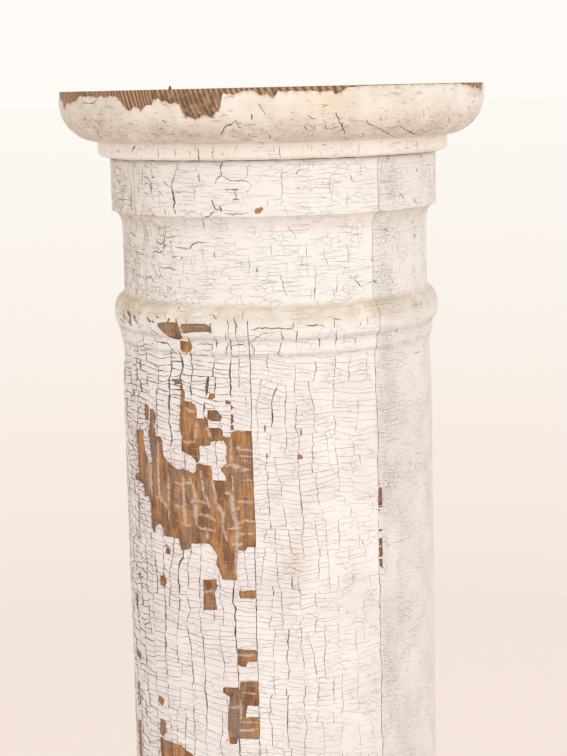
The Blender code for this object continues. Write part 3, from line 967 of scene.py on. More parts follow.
grey_places = [
    (-52, 232, (2.2, 22 * mm), 1.2), (-13, 258, (3.5, 16 * mm), 1.3), (-13, 222, (4, 12 * mm), 0.9),
    (-36, 268, (2.5, 9 * mm), 1.1), (-34, 249, (2.2, 12 * mm), 0.8), (-27, 241, (1.5, 10 * mm), 0.8),
    (-13, 351, (5, 6 * mm), 1.4), (-18, 388, (2.6, 14 * mm), 1.3), (-40, 144, (4, 5 * mm), 1.3),
    (-28, 143, (8, 4 * mm), 0.8), (-57, 256, (2.5, 8 * mm), 0.8), (-62, 226, (2, 12 * mm), -1.0),
    (-12, 298, (3, 6 * mm), -1.0), (-13, 376, (3, 8 * mm), -1.0), (-26, 255, (5, 16 * mm), -0.8),
    (-19, 290, (3, 9 * mm), -1.0)]


def inside(azimuth, drop, corners):
    """True where a point lies inside the outline: a line to the left of it crosses an odd number of sides."""
    found = np.zeros(np.shape(azimuth), dtype=bool)
    for (a0, d0), (a1, d1) in zip(corners, corners[1:] + corners[:1]):
        crosses = (d0 > drop) != (d1 > drop)
        reach = a0 + (drop - d0) * (a1 - a0) / (d1 - d0 if d1 != d0 else 1)
        found ^= crosses & (azimuth < reach)
    return found


def drawn_to_edge(azimuth, down, outline):
    """Moves the points of the coat that lie over a bare patch to the nearest place on the patch's outline."""
    drop = outline.drop_at(down)
    over = is_bare(azimuth, drop)
    point = np.stack([azimuth[over] * degree_width, drop[over]], axis=-1)
    best, reach = point.copy(), np.full(len(point), 3.6)
    for corners in [*bare_patches.values(), *kept_islands.values()]:
        for start, end in zip(corners, corners[1:] + corners[:1]):
            start, end = np.array(start) * (degree_width, 1), np.array(end) * (degree_width, 1)
            run = end - start
            length = np.sqrt(run @ run)
            share = np.clip((point - start) @ run / length ** 2, 0, 1)[:, None]
            share = np.where(share * length < 1.5, 0, np.where((1 - share) * length < 1.5, 1, share))
            distance = np.linalg.norm(start + share * run - point, axis=1)
            nearer = distance < reach
            best[nearer] = (start + share * run)[nearer]
            reach[nearer] = distance[nearer]
    jag = [smooth_noise(best[:, 1], best[:, 0], 1.3, 421), smooth_noise(best[:, 0], best[:, 1], 1.3, 422)]
    best = best + 0.25 * np.stack(jag, axis=-1)
    azimuth, down = azimuth.copy(), down.copy()
    azimuth[over] = best[:, 0] / degree_width
    down[over] = outline.down_at(best[:, 1])
    return azimuth, down


def is_bare(azimuth, drop):
    """True where the coat is gone: in the patches read from the photograph, and in plainer ones elsewhere."""
    bare = np.zeros(np.shape(azimuth), dtype=bool)
    for corners in bare_patches.values():
        bare |= inside(azimuth, drop, corners)
    for corners in kept_islands.values():
        bare &= ~inside(azimuth, drop, corners)
    across, down = distance_round(azimuth), drop * mm
    unseen = (np.abs(azimuth) > 95) | (drop > traced_foot_drop)
    worn = smooth_noise(across, down * 0.6, 62 * mm, 401) + 0.45 * smooth_noise(across, down, 15 * mm, 402)
    side_worn = smooth_noise(across, down * 0.5, 6 * mm, 403) > 0.74
    edge = (azimuth < -64) & (azimuth > -95) & (drop > 175) & side_worn
    return bare | edge | (unseen & (drop > shaft_coat_drop + 3) & (worn > 0.74))


def make_stave(index, outline, paint, wood, first_cuts):
    """One stave's wood and its coat of flakes, which together stand for the solid."""
    azimuth_start = front_joint_azimuth + index * stave_degrees
    azimuth_start -= 360 if azimuth_start > 180 else 0
    name = f"stave_{index + 1}"
    seed = 1000 + 50 * index
    cells, sides, bare = crack_cells(azimuth_start, first_cuts, outline, seed)
    coated = ~bare.all(axis=1)
    azimuth, drop = place_of(cells.mean(axis=1), azimuth_start, outline)
    in_view = (drop < fine_foot_drop) & (azimuth > view_left) & (azimuth < view_right)
    parted = sides[:, 1:].min(axis=1) == 0
    coat_grid = fine_coat_grid if in_view.any() else plain_coat_grid
    parts = [neck_coat(index, azimuth_start, outline, *coat_grid)]
    for chosen, size in ((in_view & ~parted, fine_flake), (parted, cut_flake),
                         (~in_view & ~parted, plain_flake)):
        if (coated & chosen).any():
            parts.append(flake_points(cells[coated & chosen], sides[coated & chosen], flake_template(*size),
                                      azimuth_start, outline, seed))
    parts += neck_crack_strips(index, azimuth_start, outline)
    points, faces, azimuth, down, shade, tone = join_parts(parts)
    uv = np.stack([np.radians(azimuth) * measuring_radius, -down], axis=-1)
    # The grime values carry tan dirt and painted shade.
    values = {"crack": shade, "grime": coat_grime_and_shade(azimuth, down, outline), "flank": flank(azimuth),
              "dust": coat_dust(azimuth, down, outline), "speckled": speckled(azimuth, down), "tone": tone}
    make_piece(f"{name}_coat", points, faces, [paint], values, uv[faces.ravel()], 30)
    plates = bare_plates(cells[bare.any(axis=1)], azimuth_start, outline)
    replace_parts(stave_wood(index, name, azimuth_start, outline, wood, plates), name)


def join_parts(parts):
    """Puts point, face and value arrays together, with the faces numbered on from part to part."""
    counts = np.cumsum([0] + [part[0].shape[0] * part[0].shape[1] for part in parts])
    faces = np.concatenate([part[1] + count for part, count in zip(parts, counts)])
    points = np.concatenate([part[0].reshape(-1, 3) for part in parts])
    return points, faces, *(np.concatenate([part[side].ravel() for part in parts])
                            for side in range(2, len(parts[0])))


def flank(azimuth):
    """How far a point lies on the column's dull right flank, from 0 to 1."""
    return soft_step(azimuth, 36.2, 37.4) * soft_fall(azimuth, 95, 130)


def speckled(azimuth, down):
    """How dark the flank's fine crackle is: strongest in streaks by its joint, fading round the side."""
    around = distance_round(azimuth)
    streak = 0.75 + 0.5 * smooth_noise(around, down * 0.25, 5 * mm, 311)
    streak = streak + 0.5 * smooth_noise(around, down, 16 * mm, 312)
    return flank(azimuth) * np.clip((0.30 + 0.75 * hump(azimuth, 42, 5.0)) * streak, 0, 0.8)


def coat_grime_and_shade(azimuth, down, outline):
    """Tan dirt beside the bead and in patches, darker under the band, and painted shade under the capital and
    on the left.
    """
    drop = outline.drop_at(down)
    across = distance_round(azimuth)
    mottle = layers(across, down, (1, 16, 301), (0.5, 5, 302)) / 1.5
    crest = hump(drop, 130.5, 2.2) * (0.16 + 0.2 * mottle)
    lower_groove = hump(drop, 150.5, 1.5) * 0.32
    fillet_line = hump(drop, 159.8, 1.2) * 0.42
    cove = hump(drop, 81, 4.5) * (0.22 + 0.16 * mottle)
    # Painted shade: a dark line just under the capital.
    head = hump(drop, 42.4, 1.2) * 0.6
    upper = soft_fall(drop, 124, 138)
    # Painted shade down the left side, stronger above the bead, fading towards the back.
    left = soft_step(-azimuth, 38, 78) * 0.20 + soft_step(-azimuth, 26, 62) * upper * 0.22
    left = left * soft_fall(-azimuth, 110, 150)
    mottled = np.clip(mottle - 0.15, 0, 1) * 0.16
    return np.clip(crest + lower_groove + fillet_line + cove + head + left + mottled, 0, 1)


def coat_dust(azimuth, down, outline):
    """Tan dust on the bead's upper side, thickest at the left, and a faint stain low on the front."""
    drop = outline.drop_at(down)
    across = distance_round(azimuth)
    mottle = 0.8 + 0.35 * smooth_noise(across, down, 9 * mm, 303)
    ledge = soft_step(drop, 127, 132) * soft_fall(drop, 136, 145)
    ledge = ledge * (0.74 + 0.42 * soft_step(-azimuth, 20, 55))
    stain = 0.40 * np.exp(-((azimuth - 4) / 5) ** 2 - ((drop - 292) / 20) ** 2)
    return np.clip((ledge + stain) * mottle, 0, 1)


def ghost_strips(index, azimuth_start, outline):
    """The pale lines on a stave's bare wood: the traced ones, and others strewn over the unseen patches."""
    stop = azimuth_start + stave_degrees

    def flat(azimuth, down):
        return 0.10 * mm - paint_coat + 0 * down

    def share(azimuth, down):
        return is_bare(azimuth, outline.drop_at(down)) * 0.75

    traced = lines_between(ghost_lines, azimuth_start, stop)
    head = outline.down_at(traced_foot_drop if traced else shaft_coat_drop + 6)
    reach = (azimuth_start + 1.5, stop - 1.5), (head, outline.length - 12 * mm)
    paths = [scattered_paths(reach, (9 * mm, 16 * mm), share, 15 * mm, (90, 6), 0.55 * mm, 4000 + index),
             scattered_paths(reach, (8 * mm, 4.5 * mm), share, 7 * mm, (0, 6), 0.30 * mm, 4100 + index)]
    if traced:
        paths.append(traced_paths(traced, outline, 14))
    paths = [ragged(azimuth, down, half * 2.9, 4200) for azimuth, down, half in paths]
    strips = [laid_strips(*path, outline, flat, (-0.05, 0.02, 0.02, -0.05), (0, 0.9, 0.9, 0),
                          (-1, -0.12, 0.12, 1)) for path in paths]
    return with_noughts(strips, 2)


def stave_section(azimuth_start, outline):
    """A stave's section carried down the outline: an outer arc with grain, and a flat inner face.

    Returns the points, each one's run round the section in metres for the surface map, and the rows' downs.
    """
    rows = np.concatenate([np.linspace(0, 0.16, 61), np.linspace(0.17, outline.length - 0.03, 20),
                           np.linspace(outline.length - 0.028, outline.length, 12)])
    share = np.linspace(0, 1, stave_columns)
    down = rows[:, None] + 0 * share
    trim = np.degrees(joint_gap / 2 / outline.at(down, outline.radius))
    azimuth = azimuth_start + trim + (stave_degrees - 2 * trim) * share
    across = np.radians(azimuth) * measuring_radius
    grain = 0.10 * mm * smooth_noise(across, down * 0.05, 1.6 * mm, 501) - 0.05 * mm
    outer = outline.place(azimuth, down, grain - paint_coat)
    corner_radius = core_half_width / np.cos(np.radians(stave_degrees / 2))
    corners = []
    for turn in np.radians([azimuth_start + stave_degrees - inner_trim, azimuth_start + inner_trim]):
        level = outer[:, 0, 2]
        corners.append(np.stack([corner_radius * np.sin(turn) + 0 * level,
                                 -corner_radius * np.cos(turn) + 0 * level, level], axis=-1)[:, None])
    around = np.concatenate([outer] + corners + [outer[:, :1]], axis=1)
    last = across[:, -1:]
    run = np.concatenate([across] + [last + further for further in inner_runs], axis=1)
    return around, run, down[:, :1] + 0 * run


def stave_wood(index, name, azimuth_start, outline, wood, plates):
    """The stave itself: its closed section, the plates of bare wood and the pale lines on them."""
    around, run, down = stave_section(azimuth_start, outline)
    covered = np.zeros(run.shape)
    covered[:, :stave_columns] = 1
    caps = end_caps(around)
    block = len(caps[0])
    flat = np.zeros(block)
    parts = [(around, grid_faces(*run.shape), run, down, 0 * run, 0 * run, covered),
             (caps[0][None], caps[1], caps[0][None, :, 0], caps[0][None, :, 1], flat, flat, flat),
             (*plates, 0 * plates[2]), *ghost_strips(index, azimuth_start, outline)]
    parts = [part for part in parts if part[0].size]
    points, faces, run, down, mark, grey, covered = join_parts(parts)
    on_plates = np.arange(len(run)) >= around.shape[0] * around.shape[1] + block
    run = np.where(on_plates, np.radians(run) * measuring_radius, run)
    uv = np.stack([run, -down], axis=-1)
    core = make_piece(f"{name}_wood", points, faces, [wood],
                      {"primer": mark, "grey": grey, "covered": covered}, uv[faces.ravel()], 35)
    weld(core)
    return core


def end_caps(around):
    """Closes the stave's two ends with strips between the outer arc and the inner face."""
    columns = around.shape[1] - 3
    points, faces = [], []
    for row, turned in ((0, False), (-1, True)):
        outer = around[row, :columns]
        right, left = around[row, columns], around[row, columns + 1]
        share = np.linspace(0, 1, columns)[:, None]
        inner = left * (1 - share) + right * share
        strip = np.stack([inner, outer])
        quads = grid_faces(2, columns) + sum(len(part) for part in points)
        points.append(strip.reshape(-1, 3))
        faces.append(quads[:, ::-1] if turned else quads)
    return np.concatenate(points), np.concatenate(faces)


# The capital: the edge where its coat begins, and its cracks, each a width in millimetres and its points.
# All the points are (azimuth, drop), read from the photograph.

coat_edge = [
    (-180, 2.5), (-150, 4), (-138, 9), (-126, 3.5), (-110, 2.5), (-96, 6), (-86, 8), (-78.4, 3.2),
    (-74.1, 5.6), (-70.7, 11.0), (-68.2, 6.8), (-62.2, 6.5), (-57.5, 2.9), (-52.1, 3.2), (-46.3, 3.4),
    (-41.7, 4.1), (-40.1, 7.7), (-37.2, 11.7), (-35.7, 9.8), (-34.2, 12.6), (-31.6, 8.5), (-28.7, 5.3),
    (-25.6, 7.7), (-22.9, 8.3), (-22.3, 11.6), (-21.4, 16.0), (-19.3, 18.0), (-17.3, 15.1),
    (-14.9, 16.0), (-13.0, 13.6), (-12.4, 10.0), (-11.7, 3.2), (-9.4, 3.3), (-5.7, 2.4), (-4.3, 1.7),
    (-2.1, 4.5), (0.5, 4.6), (1.8, 2.3), (5.7, 3.3), (9.1, 2.4), (14.5, 2.7), (15.7, 4.4), (16.8, 4.2),
    (18.5, 1.5), (23.8, 0.4), (40, 0.3), (56, 0.3), (58.6, 1.0), (61.0, 1.6), (65.6, 3.0), (70, 4.2),
    (74.2, 4.4), (77, 2), (84, 1.5), (100, 2), (118, 6), (126, 3), (150, 2), (166, 5), (180, 2.5)]
capital_cracks = [
    (0.9, [(-46.9, 32.5), (-48.3, 34.8), (-49.3, 37.1)]),
    (0.5, [(-56.5, 6.9), (-51.0, 7.0), (-49.1, 4.9)]),
    (0.6, [(-44.9, 15.9), (-45.1, 17.4)]),
    (0.6, [(-53.9, 23.2), (-57.2, 27.6), (-57.9, 29.5)]),
    (0.5, [(-37.3, 34.5), (-37.4, 39.5)]),
    (0.5, [(-30.8, 34.5), (-30.9, 39.0)]),
    (0.7, [(-23.0, 33.8), (-22.8, 37), (-23.5, 42.5)]),
    (0.5, [(-18.0, 33.9), (-18.3, 40.9)]),
    (0.7, [(-13.4, 26.6), (-12.1, 23.0), (-11.5, 21.1), (-9.9, 20.3)]),
    (1.1, [(-11.4, 20.9), (-9.9, 20.3)]),
    (0.5, [(-9.9, 20.3), (-8.9, 18.2), (-7.9, 23.2)]),
    (0.6, [(-3.0, 8.7), (-2.3, 11.6), (-1.5, 15.8)]),
    (0.6, [(-4.6, 14.6), (-5.0, 17.8)]),
    (0.5, [(-6.1, 25.5), (-6.1, 27.5), (-4.0, 27.9)]),
    (0.9, [(-1.0, 26.8), (-0.3, 29.2)]),
    (0.6, [(-4.1, 30.7), (-2.5, 32.6)]),
    (0.6, [(5.4, 26.1), (6.0, 27.5)]),
    (0.5, [(8.2, 21.8), (8.4, 23.5), (9.4, 25.2), (9.6, 26.0)]),
    (0.5, [(8.4, 21.3), (11.2, 23.6), (10.1, 25.3)]),
    (0.6, [(10.5, 28.4), (11.0, 27.0)]),
    (0.5, [(13.5, 21.6), (14.0, 25.0)]),
    (0.9, [(15.1, 25.1), (16.7, 23.0)]),
    (0.6, [(15.6, 15.2), (17.1, 20.7)]),
    (0.9, [(17.5, 26.2), (19.7, 22.9)]),
    (0.8, [(16.8, 20.4), (18.2, 23.6), (19.6, 27.5)]),
    (0.9, [(20.3, 30.4), (23.7, 31.9)]),
    (0.7, [(24.4, 19.7), (25.1, 22.1), (27.8, 24.0), (33.6, 28.8), (38.1, 30.9)]),
    (0.5, [(33.6, 25.0), (35.3, 24.0), (37.3, 25.8)]),
    (1.0, [(37.3, 25.8), (40.5, 27.9), (44.5, 29.9)]),
    (0.5, [(43.7, 26.9), (48.0, 28.4), (50.3, 26.2), (56.3, 27.3)]),
    (0.4, [(50.9, 33.8), (51.8, 40.5)]),
    (0.4, [(2.0, 34), (2.3, 41)]),
    (0.4, [(27.0, 34), (26.6, 40)]),
]
grain_azimuth = -45
ring_spacing = 2.7 * mm
ring_lean = 0.30


def capital_columns():
    """Azimuths round the capital, close together in front and wider apart behind."""
    front = np.linspace(-100, 100, 640)
    back = np.linspace(100, 260, 160)[1:]
    return np.concatenate([front, back])


def wrapped(azimuth):
    """An azimuth brought back to the range from -180 to 180."""
    return (azimuth + 180) % 360 - 180


def growth_rings(points):
    """The capital's growth rings, from -1 to 1: a wave across its grain, leaning with height."""
    turn = np.radians(grain_azimuth)
    sideways = points[..., 0] * np.cos(turn) + points[..., 1] * np.sin(turn)
    along = points[..., 0] * np.sin(turn) - points[..., 1] * np.cos(turn)
    bend = 1.3 * mm * smooth_noise(sideways + 1, along * 0.15 + 1, 11 * mm, 601)
    return np.sin(2 * np.pi * (sideways + bend + ring_lean * (points[..., 2] - rim_level)) / ring_spacing)


def edge_depth(azimuth, outline):
    """How far down the coat begins, in metres: the traced edge with a small ragged noise on it."""
    places, drops = zip(*coat_edge)
    around = distance_round(azimuth, capital_rim_radius)
    rough = layers(around, 0 * around, (0.45, 0.9, 610), (0.75, 1.9, 611), (0.7, 4.5, 612))
    drop = np.interp(azimuth, places, drops)
    return outline.down_at(np.maximum(drop + rough * np.minimum(drop / 4, 1), 0.25))


def capital_relief(azimuth, down):
    """The unevenness of the capital's coat: slow waves, and fine level wrinkles left by the brush."""
    around = distance_round(azimuth, capital_rim_radius)
    waves = 0.15 * smooth_noise(around, down, 17 * mm, 631)
    waves = waves + 0.07 * smooth_noise(around * 0.5, down, 3.5 * mm, 632)
    return (waves + 0.14 * smooth_noise(around * 0.3, down, 1.7 * mm, 633)) * mm


def capital_crack_strips(outline):
    """The capital's traced cracks, and short fine ones strewn low on the echinus and down the fillet."""
    def share(low, rim, fillet):
        def chance(azimuth, down):
            drop = outline.drop_at(down)
            around = distance_round(azimuth, capital_rim_radius)
            crowded = 0.7 + 0.7 * smooth_noise(around, down, 19 * mm, 634)
            return crowded * np.interp(drop, (3, 8, 13, 18, 30, 32, 33, 42),
                                       (0, rim, rim, low, low, 0, fillet, fillet))
        return chance

    reach = (-180, 180), (outline.down_at(9), outline.length - 1 * mm)
    families = [
        ((3.8 * mm, 2.1 * mm), share(0.60, 0.10, 0.02), 2.4 * mm, (0, 35), 0.15 * mm, 1.0, 0.45 * mm),
        ((8 * mm, 5 * mm), share(0.34, 0.10, 0.0), 5 * mm, (15, 45), 0.20 * mm, 1.0, 0.45 * mm),
        ((8 * mm, 8 * mm), share(0.05, 0.05, 0.85), 5.5 * mm, (90, 12), 0.11 * mm, 0.8, 0.45 * mm)]
    strips = strewn_cracks(families, reach, outline, capital_relief, 5000, 5100)
    paths = traced_paths(capital_cracks, outline, bolder=1.2)
    strips.append(crack_strips(paths, outline, capital_relief, 5200))
    return with_noughts(strips, 1)


def make_capital_wood(outline, azimuth, wood):
    """The capital's turned wood: top, side and sole, with the growth rings standing in ridges."""
    top = np.concatenate([[0], np.linspace(0.03, 0.93, 13), [0.965, 1]])
    side = np.concatenate([np.linspace(0, 21 * mm, 19), np.linspace(23 * mm, outline.length, 16)])
    rows = len(top) + len(side) + 1
    turn = np.radians(azimuth)
    rim_radius = capital_rim_radius - paint_coat
    disc_radius = top[:, None] * rim_radius + 0 * turn
    disc = np.stack([disc_radius * np.sin(turn), -disc_radius * np.cos(turn), 0 * disc_radius + rim_level],
                    axis=-1)
    weather = smooth_noise(disc[..., 0] + 1, disc[..., 1] + 1, 19 * mm, 621)
    disc[..., 2] += (0.16 * mm * growth_rings(disc) + 0.2 * mm * weather - 0.4 * mm) * (disc_radius > 0)
    down = side[:, None] + 0 * azimuth
    wall = outline.place(azimuth + 0 * down, down, 0 * down - paint_coat)
    rings = growth_rings(wall)
    face_on = np.abs(np.cos(np.radians(azimuth - grain_azimuth))) ** 0.5 + 0 * down
    sunk = 0.15 * mm + 0.5 * mm * soft_step(down, 20 * mm, 24 * mm)
    wall = outline.place(azimuth + 0 * down, down, 0.30 * mm * rings * face_on - paint_coat - sunk)
    sole = np.stack([0 * turn, 0 * turn, 0 * turn + capital_foot_level], axis=-1)[None]
    points = np.concatenate([disc, wall, sole])
    furrow = np.concatenate([growth_rings(disc) * 0.6, rings * face_on, 0 * turn[None]])
    block = make_piece("capital_wood", points, grid_faces(rows, len(azimuth)), [wood],
                       {"furrow": furrow * 0.5 + 0.5, "rotten": rotten(points, azimuth)}, None, 50)
    weld(block)
    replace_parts(block, "capital")


def make_capital_coat(outline, azimuth, paint):
    """The capital's coat, from its ragged edge down to the foot."""
    around = wrapped(azimuth)
    start = edge_depth(around, outline)
    fractions = np.concatenate([[0, 0, 0.010], np.linspace(0.022, 0.985, 43), [1]])[:, None]
    down = start + (outline.length - start) * fractions
    round_azimuth = around + 0 * down
    lift = capital_relief(round_azimuth, down)
    lift[0], lift[1], lift[-1] = -paint_coat - 0.4 * mm, -0.30 * mm, -paint_coat
    lip = hump(down, start, 1.3 * mm)
    skin = (outline.place(round_azimuth, down, lift), grid_faces(*down.shape), round_azimuth, down,
            0 * down, lip)
    points, faces, azimuth, down, crack, lip = join_parts([skin, *capital_crack_strips(outline)])
    stain = np.exp(-((azimuth - 14) / 6) ** 2 - ((down - 9 * mm) / (7 * mm)) ** 2)
    values = {"crack": crack, "lip": lip, "grime": capital_grime_and_shade(azimuth, down, outline), "stain": stain}
    weld(make_piece("capital_coat", points, faces, [paint], values, None, 50))


def capital_grime_and_shade(azimuth, down, outline):
    """On the capital: painted shade under the echinus, above and below the fillet and on the flanks; dirt in
    patches and where worn.
    """
    drop = outline.drop_at(down)
    across = distance_round(azimuth, capital_rim_radius)
    mottle = layers(across, down, (0.6, 9, 641), (0.4, 3, 642))
    # Painted shade on the echinus's underside.
    under = soft_step(drop, 12, 28) * soft_fall(drop, 30.4, 31.6) * 0.70
    # Painted shade in the crease above the fillet and under the fillet.
    crease = hump(drop, 31.7, 0.6) * 0.65 + soft_step(drop, 40.4, 41.8) * 0.9
    echinus = soft_fall(drop, 31, 32.5)
    # Painted shade on the echinus's flanks, most on the left.
    left = soft_step(-azimuth, 22, 66) * (0.10 + 0.42 * echinus) + soft_step(azimuth, 45, 70) * 0.06 * echinus
    worn = np.exp(-((azimuth - 69) / 8) ** 4) * soft_fall(drop, 7, 9.5) * 0.75
    mottled = (0.08 + 0.16 * echinus) * np.clip(mottle, -0.6, 1)
    return np.clip(0.10 * echinus + under + crease + left + worn + mottled, 0, 1)


def rotten(points, azimuth):
    """Where the capital's wood is dark and crumbled: in the deep break left of the front."""
    below = soft_step(rim_level - points[..., 2], 1.0 * mm, 3.5 * mm)
    return below * soft_step(wrapped(azimuth), -34, -27) * (1 - soft_step(wrapped(azimuth), -13, -10))


def make_splinter(wood):
    """A short splinter on the rim: a cone whose radius falls to nothing as it rises."""
    azimuth, height, thickness = -25.9, 2.6 * mm, 1.3 * mm
    turn, rise = np.meshgrid(np.linspace(0, 2 * np.pi, 9), np.linspace(1, 0, 5))
    radius = thickness * (1 - rise) ** 0.6 * (1 + 0.25 * np.sin(3 * turn))
    centre_x = (capital_rim_radius - 3.5 * mm) * np.sin(np.radians(azimuth))
    centre_y = -(capital_rim_radius - 3.5 * mm) * np.cos(np.radians(azimuth))
    points = np.stack([centre_x + radius * np.cos(turn), centre_y + radius * np.sin(turn),
                       rim_level - 1.0 * mm + (height + 1.0 * mm) * rise], axis=-1)
    weld(make_piece("capital_splinter", points, grid_faces(*rise.shape), [wood],
                    {"furrow": np.full(rise.shape, 0.1), "rotten": np.full(rise.shape, 0.6)}))


def make_base(outline, finish):
    """The base ring as one closed turned skin, its coat worn off in lobes on the torus."""
    azimuth = np.linspace(-180, 180, 257)
    down = np.linspace(0, outline.length, 76)[:, None] + 0 * azimuth
    round_azimuth = azimuth + 0 * down
    steps = 48
    size = 2 * np.pi * base_torus_radius / steps
    across = distance_round(round_azimuth, base_torus_radius)
    radius = outline.at(down, outline.radius)
    waves = smooth_noise(across, down, size, 701, steps)
    waves = waves + 0.5 * smooth_noise(across, down, size / 3, 702, steps * 3)
    crown = hump(radius, base_torus_radius, 9 * mm)
    outside = soft_step(radius, base_listel_radius - 6 * mm, base_listel_radius)
    coated = outside * soft_step(0.62 - waves - 0.35 * crown, 0, 0.12)
    points = outline.place(round_azimuth, down, -paint_coat * (1 - coated) + 0.1 * mm * waves * outside)
    low = soft_step(-outline.at(down, outline.height), -12 * mm, 0)
    grime = np.clip(0.25 + 0.25 * waves + 0.4 * low, 0, 1)
    ring = make_piece("base_ring_finish", points, grid_faces(*down.shape), [finish],
                      {"coated": coated, "grime": grime}, None, 50)
    weld(ring)
    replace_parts(ring, "base_ring")


# Materials

class Nodes:
    """A short hand for laying out a material's nodes."""

    def __init__(self, name, roughness):
        self.material = bpy.data.materials.new(name)
        self.material.use_nodes = True
        self.tree = self.material.node_tree
        self.shader = self.tree.nodes["Principled BSDF"]
        self.shader.inputs["Roughness"].default_value = roughness

    def add(self, kind, links=None, **settings):
        """A node of this kind, with its settings, and its inputs linked or set."""
        node = self.tree.nodes.new("ShaderNode" + kind)
        for setting, value in settings.items():
            setattr(node, setting, value)
        for socket, value in (links or {}).items():
            if isinstance(value, bpy.types.NodeSocket):
                self.tree.links.new(value, node.inputs[socket])
            else:
                node.inputs[socket].default_value = value
        return node

    def noise(self, vector, scale, detail=3.0, roughness=0.55):
        """A noise pattern's value."""
        return self.add("TexNoise", {"Vector": vector, "Scale": scale, "Detail": detail,
                                     "Roughness": roughness}).outputs["Fac"]

    def stretch(self, vector, scale, turn=0.0, shift=(0, 0, 0)):
        """Coordinates scaled, turned about Z and moved."""
        return self.add("Mapping", {"Vector": vector, "Scale": scale, "Rotation": (0, 0, turn),
                                    "Location": shift}).outputs["Vector"]

    def ramp(self, value, low, high):
        """0 below low, 1 above high, smooth between."""
        return self.add("MapRange", {"Value": value, "From Min": low, "From Max": high},
                        interpolation_type="SMOOTHSTEP", clamp=True).outputs["Result"]

    def patches(self, vector, scale, detail, low, high):
        """A noise pattern sharpened to patches: 0 below low, 1 above high."""
        return self.ramp(self.noise(vector, scale, detail), low, high)

    def combine(self, kind, first, second):
        """Two values put together by a math node."""
        return self.add("Math", {0: first, 1: second}, operation=kind, use_clamp=False).outputs["Value"]

    def times(self, first, second):
        """Two values multiplied."""
        return self.combine("MULTIPLY", first, second)

    def blend(self, share, first, second):
        """One colour laid over another by a share."""
        node = self.add("Mix", {"Factor": share}, data_type="RGBA")
        for socket, value in ((node.inputs[6], first), (node.inputs[7], second)):
            if isinstance(value, bpy.types.NodeSocket):
                self.tree.links.new(value, socket)
            else:
                socket.default_value = (*value, 1)
        return node.outputs[2]

    def attribute(self, name):
        """A value that the piece carries at each point."""
        return self.add("Attribute", attribute_name=name).outputs["Fac"]

    def broken(self, name, *patches):
        """An attribute broken up by patches of noise."""
        return self.times(self.attribute(name), self.patches(*patches))

    def finish(self, colour, height, distance, roughness=None):
        """Colour, bump and roughness brought to the shader."""
        self.tree.links.new(colour, self.shader.inputs["Base Color"])
        bump = self.add("Bump", {"Height": height, "Strength": 1.0, "Distance": distance}).outputs["Normal"]
        self.tree.links.new(bump, self.shader.inputs["Normal"])
        if roughness is not None:
            self.tree.links.new(roughness, self.shader.inputs["Roughness"])
        return self.material


# Colours of the coats, of their dirt and painted shade, of the wood and of the shadowed floor, as linear red,
# green and blue

paint_white = (0.83, 0.772, 0.758)
paint_bright = (0.90, 0.852, 0.842)
paint_dull = (0.74, 0.690, 0.662)
neck_white = (0.87, 0.838, 0.806)
capital_grey = (0.77, 0.70, 0.63)
capital_beige = (0.88, 0.825, 0.765)
# Dirt and painted shade on the capital.
capital_dirt_and_shade = (0.52, 0.42, 0.31)
fillet_cream = (0.92, 0.875, 0.82)
lip_tan = (0.60, 0.45, 0.28)
# Tan for dirt, and on the staves also for painted shade.
grime_and_shade_tan = (0.42, 0.315, 0.205)
dust_tan = (0.58, 0.44, 0.28)
grime_grey = (0.34, 0.28, 0.23)
stain_yellow = (0.80, 0.67, 0.40)
# The colour of the cracks: dirt and painted shade in them.
crack_dirt_and_shade = (0.135, 0.078, 0.048)
wood_speck = (0.40, 0.185, 0.065)
wood_brown = (0.215, 0.088, 0.034)
wood_orange = (0.49, 0.232, 0.085)
wood_straw = (0.66, 0.42, 0.22)
wood_grey = (0.275, 0.190, 0.148)
wood_grain = (0.10, 0.045, 0.020)
wood_scratch = (0.60, 0.42, 0.27)
wood_primer = (0.68, 0.58, 0.51)
# Wood seen down the cracks: dirt and painted shade.
wood_in_cracks_dirt_and_shade = (0.17, 0.105, 0.070)
furrow_dark = (0.110, 0.055, 0.032)
ridge_brown = (0.55, 0.33, 0.195)
ridge_grain = (0.16, 0.075, 0.04)
ridge_pale = (0.60, 0.46, 0.30)
weathered_brown = (0.20, 0.13, 0.09)
rot_dark = (0.12, 0.062, 0.038)
rot_brown = (0.44, 0.265, 0.165)
base_wood_dark = (0.13, 0.062, 0.03)
base_wood_brown = (0.34, 0.17, 0.075)
# The floor's painted shadow near the column, and its colour far off.
floor_shadow_near = (0.90, 0.79, 0.735)
floor_far = (0.995, 0.985, 0.975)


def warped_by(nodes, surface, scale, reach, shift=0.0):
    """A surface map bent by a noise of this scale and reach."""
    bend = nodes.add("TexNoise", {"Vector": surface, "Scale": scale, "Detail": 2}).outputs["Color"]
    bend = nodes.stretch(bend, (reach, reach, reach), shift=(shift - reach / 2, shift - reach / 2, 0))
    return nodes.add("VectorMath", {0: surface, 1: bend}, operation="ADD").outputs["Vector"]


def crackle(nodes, surface, across, down, seed):
    """Fine crack lines on a surface map: 1 on the line, 0 within the cells, bent by noise."""
    warped = warped_by(nodes, surface, 190, 0.004, seed)
    lines = nodes.add("TexVoronoi", {"Vector": nodes.stretch(warped, (across, down, 1)), "Scale": 1.0},
                      feature="DISTANCE_TO_EDGE", voronoi_dimensions="2D").outputs["Distance"]
    return nodes.ramp(lines, 0.060, 0.015)


